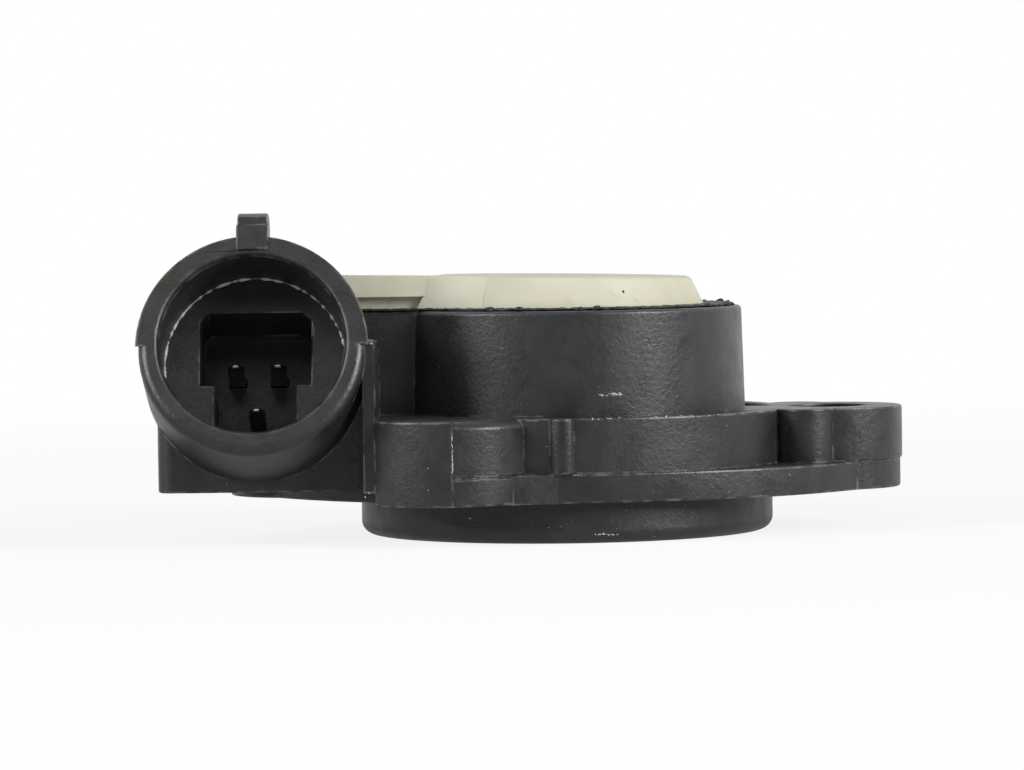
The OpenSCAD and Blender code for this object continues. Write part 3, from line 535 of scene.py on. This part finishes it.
@dataclass(frozen=True)
class WorkedMetal:
    """Stamped, turned or drawn metal, plated or bare: bright with fine lines
    from the tool along one direction, and slightly clouded by handling."""

    name: str
    bright: str
    dull: str
    roughness: float = 0.28
    line_mm: float = 0.12
    stretch: tuple[float, float, float] = (1.0, 1.0, 12.0)
    cloud_mm: float = 1.5
    depth_mm: float = 0.004

    def build(self) -> bpy.types.Material:
        """Build the material.

        Returns:
            The finished node material.
        """
        material, t, out = fresh(self.name)
        place = add(t, "ShaderNodeTexCoord").outputs["Object"]
        along = add(t, "ShaderNodeMapping", {"Vector": place, "Scale": self.stretch})
        lines = add(t, "ShaderNodeTexNoise", {"Vector": along.outputs[0],
                                              "Scale": per_mm(self.line_mm * 12),
                                              "Detail": 4.0, "Roughness": 0.7})
        cloud = add(t, "ShaderNodeTexNoise", {"Vector": place, "Scale": per_mm(self.cloud_mm),
                                              "Detail": 4.0})
        clouded = add(t, "ShaderNodeMapRange", {"Value": cloud.outputs["Fac"], 1: 0.35, 2: 0.7})
        colour = add(t, "ShaderNodeMix", {"Factor": clouded.outputs[0], 6: linear(self.bright),
                                          7: linear(self.dull)}, data_type="RGBA")
        rough = add(t, "ShaderNodeMapRange", {"Value": lines.outputs["Fac"], 1: 0.3, 2: 0.7,
                                              3: self.roughness - 0.08,
                                              4: self.roughness + 0.12})
        bump = add(t, "ShaderNodeBump", {"Height": lines.outputs["Fac"],
                                         "Distance": self.depth_mm * MM})
        skin = add(t, "ShaderNodeBsdfPrincipled",
                   {"Base Color": colour.outputs[2], "Metallic": 1.0,
                    "Roughness": rough.outputs[0], "Normal": bump.outputs[0]})
        t.links.new(skin.outputs[0], out.inputs["Surface"])
        return material


@dataclass(frozen=True)
class PrintedLayer:
    """Laminate or a screen-printed ink: a nearly flat layer whose weave or
    particles show as a faint mottle."""

    name: str
    dark: str
    light: str
    roughness: float
    mottle_mm: float = 0.3
    metallic: float = 0.0
    depth_mm: float = 0.005

    def build(self) -> bpy.types.Material:
        """Build the material.

        Returns:
            The finished node material.
        """
        material, t, out = fresh(self.name)
        place = add(t, "ShaderNodeTexCoord").outputs["Object"]
        mottle = add(t, "ShaderNodeTexNoise", {"Vector": place, "Scale": per_mm(self.mottle_mm),
                                               "Detail": 4.0})
        colour = add(t, "ShaderNodeMix", {"Factor": mottle.outputs["Fac"], 6: linear(self.dark),
                                          7: linear(self.light)}, data_type="RGBA")
        bump = add(t, "ShaderNodeBump", {"Height": mottle.outputs["Fac"],
                                         "Distance": self.depth_mm * MM})
        skin = add(t, "ShaderNodeBsdfPrincipled",
                   {"Base Color": colour.outputs[2], "Roughness": self.roughness,
                    "Metallic": self.metallic, "Normal": bump.outputs[0]})
        t.links.new(skin.outputs[0], out.inputs["Surface"])
        return material


class Finish(Enum):
    """The finishes, by the material slot that each one dresses, and the pale marks, partly torn
    flash and partly painted highlight.
    """

    black_plastic = GlassFilledPlastic("glass_filled_polyester_moulded")
    cream_plastic = NaturalPlastic("natural_polyester_moulded")
    sealing_compound = SoftBlack("epoxy_compound_poured")
    rotor_plastic = GlassFilledPlastic("acetal_moulded", dark="#242425", light="#2e2e2f",
                                       stain="#2a2a2a", roughness=0.4, depth_mm=0.006)
    tinned_brass = WorkedMetal("tinned_brass_stamped", "#d9d6cd", "#b9b4a6", 0.26)
    zinc_steel = WorkedMetal("zinc_plated_steel_turned", "#c3c6c9", "#9da1a6", 0.32,
                             stretch=(1.0, 1.0, 14.0))
    spring_steel = WorkedMetal("spring_wire_drawn", "#a9a9a8", "#83827f", 0.3)
    spring_bronze = WorkedMetal("phosphor_bronze_rolled", "#d8a873", "#b98550", 0.26)
    seal_rubber = SoftBlack("nitrile_rubber_moulded", light="#20201f", roughness=0.55,
                            lump_mm=0.5, depth_mm=0.01)
    board_laminate = PrintedLayer("phenolic_laminate_pressed", "#5e4026", "#7a5634", 0.5)
    carbon_ink = PrintedLayer("carbon_ink_printed", "#1a1a1b", "#2b2b2c", 0.35, 0.12)
    silver_ink = PrintedLayer("silver_ink_printed", "#b5b5b2", "#d0d0cd", 0.4, 0.1, 0.9)
    # Pale grey marks: partly torn flash, partly a painted highlight where edges catch the light.
    torn_flash = PrintedLayer("polyester_flash_and_painted_highlight", "#8f8f8b", "#e4e4df", 0.5, 0.25)


@dataclass
class Palette:
    """The built materials, one for each finish that is asked for."""

    made: dict[str, bpy.types.Material] = field(default_factory=dict)

    def get(self, finish: Finish) -> bpy.types.Material:
        """Return the material of a finish, built once."""
        if finish.name not in self.made:
            self.made[finish.name] = finish.value.build()
        return self.made[finish.name]


# Sub-assemblies

@dataclass
class HousingForms:
    """Forms of the housing that its solid leaves plain, in millimetres: the round
    lobe with its seam, the small bump, the thin cheek, the ear's narrower foot,
    the latch's front plate and the connector's deeper face. Cutters run past the
    piece as far as front, under and over say."""

    front: float = -27.0
    under: float = -1.0
    over: float = 9.0
    flange_top: float = 7.9
    solid_plate_top: float = 2.3
    plate_top: float = 2.75
    plate_from_r: float = 20.5
    flange_r: float = 21.5
    lobe_x: float = -11.2
    lobe_r: float = 8.0
    lobe_reach: float = 25.4
    lobe_left: float = -18.0
    lobe_seam: float = -10.8
    seam_step: float = 0.12
    lobe_chamfer: float = 0.6
    lobe_back: float = -14.0
    groove: float = 0.16
    old_bump_left: float = -7.5
    bump_x: float = -0.6
    bump_r: float = 1.3
    ear_x: float = 25.45
    foot_r: float = 7.05
    foot_from: float = 27.85
    cheek_left: float = -19.1
    mouth: tuple[float, float, float] = (-29.3, -22.0, 15.2)
    tilt: float = 20.0
    tube_r: float = 10.8
    tube_low_r: float = 10.57
    latch_w: float = 2.9
    latch_proud: float = 0.22
    bore_r: float = 8.62
    bore_rise: float = 0.3
    face_depth: float = 6.9
    key_half: float = 5.25
    key_top: float = 5.45
    key_chamfer: float = 0.8
    key_shoulder: float = -1.75
    key_narrow_half: float = 3.88
    key_floor: float = 13.6

    def at_mouth(self, tool: bpy.types.Object) -> bpy.types.Object:
        """Carry a tool drawn at the origin to the tube's mouth, its Z along the tube.

        Args:
            tool: the tool, which is moved in its mesh.

        Returns:
            The same tool.
        """
        lean = Matrix.Rotation(math.radians(90 - self.tilt), 4, "X")
        tool.data.transform(Matrix.Translation(Vector(self.mouth) * MM) @ lean)
        return tool

    def plate(self, piece: bpy.types.Object) -> None:
        """Raise the top of the lower plate to the height that the photograph shows.

        Args:
            piece: the housing's copy.
        """
        for point in piece.data.vertices:
            x, y, z = point.co / MM
            if abs(z - self.solid_plate_top) < 0.005 and math.hypot(x, y) > self.plate_from_r:
                point.co.z = self.plate_top * MM

    def lobe(self, piece: bpy.types.Object) -> None:
        """Turn the square lobe into a round one of two halves with a seam.

        Args:
            piece: the housing's copy.
        """
        y = self.lobe_r - self.lobe_reach
        corner = block((self.lobe_left + 0.05, self.front, self.under), (self.lobe_x, y, self.over))
        combine(corner, rod(self.lobe_x, y, self.lobe_r - 0.1, -2, 10), "DIFFERENCE")
        combine(piece, corner, "DIFFERENCE")
        old_bump = block((self.old_bump_left, -24, self.plate_top - 0.02),
                         (self.bump_x, -16, self.over))
        combine(old_bump, rod(0, 0, self.flange_r - 0.05, 0, 10, 240), "DIFFERENCE")
        combine(piece, old_bump, "DIFFERENCE")
        left = rod(self.lobe_x, y, self.lobe_r, 0.02, self.flange_top + 0.02, 160)
        combine(left, block((self.lobe_left, self.front, self.under),
                            (self.lobe_seam, self.lobe_back, self.over)), "INTERSECT")
        right = rod(self.lobe_x, y, self.lobe_r - self.seam_step, 0.03, self.flange_top + 0.01, 160)
        only(right)
        bpy.ops.object.mode_set(mode="EDIT")
        top = (self.flange_top - 0.1) * MM
        pick(right, "EDGE", lambda e: all(v.co.z > top for v in e.verts))
        bpy.ops.mesh.bevel(offset=self.lobe_chamfer * MM, segments=1, affect="EDGES")
        bpy.ops.object.mode_set(mode="OBJECT")
        groove = rod(self.lobe_x, y, self.lobe_r + 1, self.plate_top - self.groove, self.plate_top)
        combine(groove, rod(self.lobe_x, y, self.lobe_r - self.seam_step - 0.2, 0, 9, 160),
                "DIFFERENCE")
        combine(right, groove, "DIFFERENCE")
        combine(right, block((self.lobe_seam - 0.05, self.front, self.under),
                             (0, self.lobe_back, self.over)), "INTERSECT")
        for part in (left, right):
            combine(piece, part, "UNION")
        bump_y = self.bump_r - self.flange_r - 0.6
        combine(piece, rod(self.bump_x, bump_y, self.bump_r, self.plate_top - 0.05,
                           self.flange_top + 0.015, 48), "UNION")

    def ear_foot(self, piece: bpy.types.Object) -> None:
        """Narrow the right ear below the plate's top, as its mould half does.

        Args:
            piece: the housing's copy.
        """
        rim = block((self.foot_from, -9, self.under), (34, 9, self.plate_top + 0.02))
        combine(rim, rod(self.ear_x, 0, self.foot_r, -2, 4), "DIFFERENCE")
        combine(piece, rim, "DIFFERENCE")

    def cheek(self, piece: bpy.types.Object) -> None:
        """Thin the wall beside the tube and leave the tube's own side whole.

        Args:
            piece: the housing's copy.
        """
        surplus = block((-20.4, -22.2, 0.9), (self.cheek_left, -17.02, self.mouth[2] + 0.01))
        combine(surplus, self.at_mouth(rod(0, 0, self.tube_low_r, -30, 10, 160)), "DIFFERENCE")
        combine(piece, surplus, "DIFFERENCE")

    def latch(self, piece: bpy.types.Object) -> None:
        """Step the tab back above its front, and run the front down to the bore.

        Args:
            piece: the housing's copy.
        """
        half = self.latch_w / 2
        combine(piece, self.at_mouth(block((-half - 1, self.tube_r + 1.05, -1.4),
                                           (half + 1, self.tube_r + 5, 1))), "DIFFERENCE")
        combine(piece, self.at_mouth(block((-half - 0.02, self.bore_r + self.bore_rise + 0.4, -1),
                                           (half + 0.02, self.tube_r + 1.02, self.latch_proud))),
                "UNION")

    def connector_face(self, piece: bpy.types.Object) -> None:
        """Sink the face behind the bore, and set the keyed cavity to match it.

        Args:
            piece: the housing's copy.
        """
        bore = rod(0, self.bore_rise, self.bore_r, -self.face_depth, -5.0, 160)
        combine(piece, self.at_mouth(bore), "DIFFERENCE")
        depth = -self.key_floor + 0.02
        top = block((-self.key_half, self.key_top - 1.6, depth), (self.key_half, self.key_top, -5))
        only(top)
        bpy.ops.object.mode_set(mode="EDIT")
        pick(top, "EDGE", lambda e: all(v.co.y > (self.key_top - 0.1) * MM for v in e.verts)
             and abs(e.verts[0].co.x - e.verts[1].co.x) < 1e-6)
        bpy.ops.mesh.bevel(offset=self.key_chamfer * MM, segments=1, affect="EDGES")
        bpy.ops.object.mode_set(mode="OBJECT")
        combine(piece, self.at_mouth(top), "DIFFERENCE")
        for side in (-1, 1):
            ends = sorted((side * self.key_narrow_half, side * (self.key_half + 0.15)))
            step = block((ends[0], -7.7, depth - 0.1), (ends[1], self.key_shoulder,
                                                        -self.face_depth - 0.01))
            combine(piece, self.at_mouth(step), "UNION")

    def shape(self, piece: bpy.types.Object) -> None:
        """Give the housing's copy all these forms.

        Args:
            piece: the housing's copy.
        """
        for step in (self.plate, self.lobe, self.ear_foot, self.cheek, self.latch,
                     self.connector_face):
            step(piece)
            LOG.info("housing after %s: %d faces", step.__name__, len(piece.data.polygons))
        clean(piece, 2e-6)


@dataclass
class CoverForms:
    """The cover's top as the photograph shows it, in millimetres: it rises
    towards the connector, and its corner stands out to the tongue's front."""

    top: float = 20.3
    right_end: float = 12.3
    rise: float = 0.0197
    outer_point: tuple[float, float] = (-11.7, -8.4)
    outer_to_x: float = -13.0
    inner_point: tuple[float, float] = (-10.39, -9.02)
    inner_to: tuple[float, float] = (-11.4, -9.2)
    near: float = 0.02

    def shape(self, piece: bpy.types.Object) -> None:
        """Tilt the top and pull the corner's upper points to their places.

        Args:
            piece: the cover's copy.
        """
        for point in piece.data.vertices:
            x, y, z = point.co / MM
            if z < self.top:
                continue
            if max(abs(x - self.outer_point[0]), abs(y - self.outer_point[1])) < self.near:
                x = self.outer_to_x
            elif max(abs(x - self.inner_point[0]), abs(y - self.inner_point[1])) < self.near:
                x, y = self.inner_to
            point.co = Vector((x, y, z + (self.right_end - x) * self.rise)) * MM


@dataclass
class Mouldings:
    """The housing, the cover and the rotor, with corners as their moulds leave them."""

    palette: Palette
    housing_corner: float = 0.22 * MM
    cover_corner: float = 0.16 * MM
    rotor_corner: float = 0.15 * MM

    def build(self) -> None:
        """Make the rounded mouldings in place of the sharp ones."""
        for node, corner, body, finish, forms in (
                ("housing", self.housing_corner, "body", Finish.black_plastic, HousingForms()),
                ("cover", self.cover_corner, "body", Finish.cream_plastic, CoverForms()),
                ("rotor", self.rotor_corner, "rotor", Finish.rotor_plastic, None)):
            piece = copy_node(node)
            if forms:
                forms.shape(piece)
            finish_piece(soften(piece, corner), node + "_moulding", self.palette.get(finish),
                         body, finish.name, node)


@dataclass
class MetalParts:
    """The three terminal blades and the two sleeves, with broken edges."""

    palette: Palette
    blade_corner: float = 0.08 * MM
    sleeve_corner: float = 0.2 * MM

    def build(self) -> None:
        """Make the stamped and turned parts in place of the sharp ones."""
        for letter in "abc":
            finish_piece(soften(copy_node("terminal_" + letter), self.blade_corner),
                         "blade_" + letter,
                         self.palette.get(Finish.tinned_brass), "body", "tinned_brass",
                         "terminal_" + letter)
        for side in ("left", "right"):
            node = "mounting_sleeve_" + side
            finish_piece(soften(copy_node(node), self.sleeve_corner), "turned_sleeve_" + side,
                         self.palette.get(Finish.zinc_steel), "body", "zinc_steel", node)


@dataclass
class SealingBead:
    """The compound that was run round the cover, ragged where it set."""

    palette: Palette
    cell: float = 0.33 * MM
    cell_share: float = 0.6
    swell: float = 0.3 * MM
    lump: float = 0.55 * MM
    mid_level: float = 0.72

    def build(self) -> None:
        """Copy the bead's solid, make it finer and push its skin in and out."""
        piece = copy_node("cover_sealant")
        clouds = bpy.data.textures.new("compound_lumps", "CLOUDS")
        clouds.noise_scale = self.lump
        clouds.noise_depth = 2
        remesh = piece.modifiers.new("even", "REMESH")
        remesh.mode = "VOXEL"
        remesh.voxel_size = self.cell * self.cell_share
        ragged = piece.modifiers.new("ragged", "DISPLACE")
        ragged.texture = clouds
        ragged.texture_coords = "LOCAL"
        ragged.strength = self.swell
        ragged.mid_level = self.mid_level
        for name in ("even", "ragged"):
            bpy.ops.object.modifier_apply(modifier=name)
        bpy.ops.object.shade_smooth()
        finish_piece(piece, "sealing_bead", self.palette.get(Finish.sealing_compound), "body",
                     "sealing_compound", "cover_sealant")


@dataclass(frozen=True)
class FlashHighlightRow:
    """A row of pale marks along the front of a round wall, partly flash crumbs and
    partly painted highlight, in millimetres: the wall's radius, both ends, the middle
    height, how far the marks stray up and down, how many they are and how wide."""

    radius: float
    from_x: float
    to_x: float
    z: float
    spread: float
    count: int
    size: float


@dataclass
class FlashAndHighlightMarks:
    """Torn flash, scuffs and specks on the mouldings, in millimetres, where the
    photograph shows them. The pale marks are partly flash and partly painted
    highlight on edges and walls."""

    palette: Palette
    body_r: float = 17.42
    boss_r: float = 20.0
    boss_foot_r: float = 19.95
    flange_r: float = 21.5
    ring_r: float = 8.55
    ring_t: float = 0.17
    ring_depth: float = 6.86
    ring_lift: float = 0.08
    seam_crumbs: int = 16
    foot_crumbs: int = 2
    top_crumbs: int = 4
    cheek_left: float = -19.0
    cheek_front: float = -21.6
    thickness: float = 0.09
    chance: random.Random = field(default_factory=lambda: random.Random(7))

    def speck(self, x: float, y: float, z: float, wide: float, high: float) -> bpy.types.Object:
        """Make one flat mark that lies on a wall which faces away from the axis.

        Args:
            x: its place to the right.
            y: its place to the back.
            z: its height.
            wide: its width.
            high: its own height.

        Returns:
            The mark.
        """
        bpy.ops.object.select_all(action="DESELECT")
        bpy.ops.mesh.primitive_ico_sphere_add(subdivisions=2, radius=0.5 * MM)
        made = bpy.context.active_object
        made.scale = (wide, self.thickness, high)
        made.rotation_euler = (self.chance.uniform(-0.3, 0.3), self.chance.uniform(-0.5, 0.5),
                               math.atan2(x, -y))
        made.location = Vector((x, y, z)) * MM
        bpy.ops.object.transform_apply(location=True, rotation=True, scale=True)
        return made

    def on_wall(self, row: FlashHighlightRow) -> list[bpy.types.Object]:
        """Scatter the pale marks of a row, partly flash and partly painted highlight.

        Args:
            row: where they lie, how many and how large.

        Returns:
            The marks.
        """
        made = []
        for _ in range(row.count):
            x = self.chance.uniform(row.from_x, row.to_x)
            made.append(self.speck(x, -math.sqrt(row.radius ** 2 - x ** 2),
                                   row.z + self.chance.uniform(-row.spread, row.spread),
                                   row.size * self.chance.uniform(0.5, 1.4),
                                   row.size * self.chance.uniform(0.25, 0.5)))
        return made

    def ring_flash(self, forms: HousingForms) -> bpy.types.Object:
        """Make the broken pale ring where the bore meets its face, partly flash and partly a
        painted highlight on that edge.

        Args:
            forms: the housing's forms, for the bore's place.

        Returns:
            The ring, torn above and thinned to nothing below.
        """
        bpy.ops.object.select_all(action="DESELECT")
        bpy.ops.mesh.primitive_torus_add(major_segments=360, minor_segments=8,
                                         major_radius=self.ring_r * MM,
                                         minor_radius=self.ring_t * MM)
        ring = bpy.context.active_object
        for point in ring.data.vertices:
            turn = math.atan2(point.co.y, point.co.x)
            middle = Vector((math.cos(turn), math.sin(turn), 0)) * self.ring_r
            torn = noise.fractal(middle * 1.7, 1.0, 2.0, 4) + 0.25
            # Only the upper half is kept, where the rim's painted highlight lies.
            upper = 1.0 if -0.1 < turn < 3.25 or turn < -3.0 else 0.0
            share = max(0.02, min(1.0, 1.6 * torn)) * upper + 0.02
            point.co = middle * MM + (point.co - middle * MM) * share
            point.co.z += self.ring_lift * MM * torn * upper
        ring.data.transform(Matrix.Translation((0, forms.bore_rise * MM, -self.ring_depth * MM)))
        return forms.at_mouth(ring)

    def build(self) -> None:
        """Make the pale marks, partly flash and partly painted highlight, as one piece, and the
        dark speck on the cover as another.
        """
        forms = HousingForms()
        marks = [self.ring_flash(forms)]
        # Rows of pale marks: partly flash, partly painted highlight on the flange's top edge and
        # the lit sides of body and boss.
        for row in (FlashHighlightRow(self.body_r, 2.9, 5.3, 9.9, 0.12, 16, 0.3),
                    FlashHighlightRow(self.boss_foot_r, 2.1, 4.9, -3.0, 0.08, 12, 0.24),
                    FlashHighlightRow(self.boss_r, -9.4, -9.2, -1.47, 0.02, 1, 0.25),
                    FlashHighlightRow(self.boss_r, -4.0, 12.0, -1.6, 1.0, 14, 0.12),
                    FlashHighlightRow(self.flange_r, 1.0, 18.0, forms.flange_top - 0.05, 0.06, 16, 0.22),
                    FlashHighlightRow(self.flange_r, -0.8, 0.4, forms.plate_top + 0.1, 0.05, 5, 0.25)):
            marks += self.on_wall(row)
        y = forms.lobe_r - forms.lobe_reach
        for _ in range(self.seam_crumbs):
            high = self.chance.uniform(forms.plate_top + 0.1, forms.flange_top - 0.8)
            marks.append(self.speck(forms.lobe_seam, y - forms.lobe_r + 0.04, high, 0.07, 0.5))
        for _ in range(self.foot_crumbs):
            marks.append(self.speck(self.chance.uniform(self.cheek_left, -18.3),
                                    self.cheek_front, self.chance.uniform(0.9, 1.6), 0.15, 0.2))
        for _ in range(self.top_crumbs):
            marks.append(self.speck(self.chance.uniform(self.cheek_left, -18.0),
                                    self.cheek_front, forms.mouth[2] - 0.05, 0.3, 0.15))
        bpy.ops.object.select_all(action="DESELECT")
        for mark in marks:
            mark.select_set(True)
        bpy.context.view_layer.objects.active = marks[0]
        bpy.ops.object.join()
        # The pale marks stand partly for torn flash and partly for painted highlight.
        finish_piece(marks[0], "torn_flash", self.palette.get(Finish.torn_flash), "body",
                     "black_plastic")
        dirt = self.speck(5.48, -11.66, 19.42, 0.22, 0.34)
        finish_piece(dirt, "dirt_speck", self.palette.get(Finish.sealing_compound), "body",
                     "sealing_compound")


@dataclass
class PlainNodes:
    """The CAD nodes whose shape is right as it is, which get their finish only."""

    palette: Palette

    def build(self) -> None:
        """Assign each remaining node the finish of its slot."""
        slots = {part["node"]: part["material_slot"] for part in frame["record"]["subparts"]}
        for node, item in frame["nodes"].items():
            material = self.palette.get(Finish[slots[node]])
            for place in item.material_slots:
                place.material = material
            LOG.info("%s: dressed as %s", node, material.name)


# Stage

@dataclass(frozen=True)
class SoftBox:
    """One soft box: degrees from the front, positive to the right, its height,
    distance from the axis and width in metres, and its power in watts."""

    name: str
    azimuth: float
    height: float
    distance: float
    size: float
    watts: float


@dataclass
class Studio:
    """The pale floor and surroundings, three soft boxes and the camera, in metres.
    The shares are strengths, where one is white."""

    boxes: tuple[SoftBox, ...] = (SoftBox("left_box", -60, 0.25, 0.5, 0.2, 1.8),
                                  SoftBox("right_box", 57, 0.24, 0.5, 0.2, 2.5),
                                  SoftBox("top_box", -6, 0.5, 0.34, 0.3, 0.3))
    floor_z: float = -3.9 * MM
    floor_radius: float = 8.0
    floor_front: float = 0.3
    shadow_fade: float = 0.86
    fill: float = 0.12
    front_wall: float = 0.06
    aim: tuple[float, float, float] = (0.0, 0.0, 0.01)
    eye: tuple[float, float, float] = (-0.0052, -0.457, 0.0282)
    pitch: float = 2.246
    roll: float = 0.83
    focal: float = 4697.0
    film: float = 36.0
    picture_width: int = 1024

    def surroundings(self) -> None:
        """Make the world: to the eye and in gloss it is white behind the sensor and
        dim in the room behind the camera, and it is gentler as a light."""
        world = bpy.data.worlds.new("studio_walls")
        bpy.context.scene.world = world
        world.use_nodes = True
        t = world.node_tree
        t.nodes.clear()
        out = t.nodes.new("ShaderNodeOutputWorld")
        seen = self.seen(t)
        way = add(t, "ShaderNodeTexCoord")
        parts = add(t, "ShaderNodeSeparateXYZ", {"Vector": way.outputs["Generated"]})
        # The wall behind the sensor is white, and the room behind the camera is dim.
        grade = add(t, "ShaderNodeMapRange", {"Value": parts.outputs["Y"], 1: -0.25, 2: 0.6,
                                              3: self.front_wall, 4: 1.0})
        dim = add(t, "ShaderNodeBackground", {"Color": linear("#ffffff"),
                                              "Strength": self.fill})
        white = add(t, "ShaderNodeBackground", {"Color": linear("#ffffff"),
                                                "Strength": grade.outputs[0]})
        mix = add(t, "ShaderNodeMixShader", {0: seen, 1: dim.outputs[0], 2: white.outputs[0]})
        t.links.new(mix.outputs[0], out.inputs["Surface"])

    @staticmethod
    def seen(t: bpy.types.NodeTree) -> bpy.types.NodeSocket:
        """Add nodes that tell where the eye, gloss or glass sees a surface.

        Args:
            t: the node tree.

        Returns:
            A socket that is one there and zero elsewhere.
        """
        path = add(t, "ShaderNodeLightPath")
        some = add(t, "ShaderNodeMath", {0: path.outputs["Is Camera Ray"],
                                         1: path.outputs["Is Glossy Ray"]}, operation="MAXIMUM")
        every = add(t, "ShaderNodeMath", {0: some.outputs[0],
                                          1: path.outputs["Is Transmission Ray"]},
                    operation="MAXIMUM")
        return every.outputs[0]

    def floor(self) -> None:
        """Make the pale floor, which keeps a soft shadow."""
        bpy.ops.object.select_all(action="DESELECT")
        bpy.ops.mesh.primitive_circle_add(vertices=96, radius=self.floor_radius,
                                          fill_type="NGON", location=(0, 0, self.floor_z))
        floor = bpy.context.active_object
        floor.name = "floor"
        bpy.ops.object.transform_apply(location=True)
        material, t, out = fresh("pale_board")
        place = add(t, "ShaderNodeTexCoord").outputs["Object"]
        tooth = add(t, "ShaderNodeTexNoise", {"Vector": place, "Scale": per_mm(2), "Detail": 3.0})
        tone = add(t, "ShaderNodeMix", {"Factor": tooth.outputs["Fac"], 6: linear("#f4f4f4"),
                                        7: linear("#fafafa")}, data_type="RGBA")
        board = add(t, "ShaderNodeBsdfDiffuse", {"Color": tone.outputs[2]})
        # To the eye the board is white, and in gloss its front part lies in the dim room.
        spot = add(t, "ShaderNodeSeparateXYZ", {"Vector": place})
        front = add(t, "ShaderNodeMapRange", {"Value": spot.outputs["Y"], 1: -0.03, 2: 0.08,
                                              3: self.floor_front, 4: 1.0})
        eye = add(t, "ShaderNodeLightPath")
        power = add(t, "ShaderNodeMath", {0: front.outputs[0], 1: eye.outputs["Is Camera Ray"]},
                    operation="MAXIMUM")
        glow = add(t, "ShaderNodeEmission", {"Color": linear("#ffffff"),
                                             "Strength": power.outputs[0]})
        # Near the sensor the board shows its shadow, and farther off it fades into white.
        away = add(t, "ShaderNodeVectorMath", {0: place}, operation="LENGTH")
        fade = add(t, "ShaderNodeMapRange", {"Value": away.outputs["Value"], 1: 0.05, 2: 0.3,
                                             3: self.shadow_fade, 4: 1.0})
        part = add(t, "ShaderNodeMath", {0: self.seen(t), 1: fade.outputs[0]},
                   operation="MULTIPLY")
        mix = add(t, "ShaderNodeMixShader", {0: part.outputs[0], 1: board.outputs[0],
                                             2: glow.outputs[0]})
        t.links.new(mix.outputs[0], out.inputs["Surface"])
        floor.data.materials.append(material)

    def lamp(self, box: SoftBox) -> None:
        """Add one soft box that looks at the sensor.

        Args:
            box: its name, place, size and power.
        """
        light = bpy.data.lights.new(box.name, "AREA")
        light.shape = "RECTANGLE"
        light.size = box.size
        light.size_y = box.size * 1.3
        light.energy = box.watts
        item = bpy.data.objects.new(box.name, light)
        bpy.context.scene.collection.objects.link(item)
        turn = math.radians(box.azimuth)
        item.location = (box.distance * math.sin(turn), -box.distance * math.cos(turn), box.height)
        item.rotation_euler = (Vector(self.aim) - item.location).to_track_quat(
            "-Z", "Y").to_euler()

    def camera(self) -> None:
        """Stand the camera where the photograph was taken."""
        lens = bpy.data.cameras.new("eye")
        lens.sensor_width = self.film
        lens.lens = self.focal * self.film / self.picture_width
        lens.clip_start = 0.01
        item = bpy.data.objects.new("eye", lens)
        bpy.context.scene.collection.objects.link(item)
        look = Matrix.Rotation(math.radians(90 - self.pitch), 4, "X")
        lean = Matrix.Rotation(math.radians(-self.roll), 4, "Z")
        item.matrix_world = Matrix.Translation(self.eye) @ look @ lean
        bpy.context.scene.camera = item

    def build(self) -> None:
        """Set up the floor, surroundings, lamps and camera."""
        self.surroundings()
        self.floor()
        for box in self.boxes:
            self.lamp(box)
        self.camera()
        bpy.context.scene.view_settings.view_transform = "Standard"


def main() -> None:
    """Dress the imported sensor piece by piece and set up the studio."""
    logging.basicConfig(level=logging.INFO, format="%(name)s: %(message)s")
    palette = Palette()
    for part in (Mouldings(palette), MetalParts(palette), SealingBead(palette),
                 FlashAndHighlightMarks(palette), PlainNodes(palette), Studio()):
        LOG.info("building %s", type(part).__name__)
        part.build()


if __name__ == "__main__":
    main()
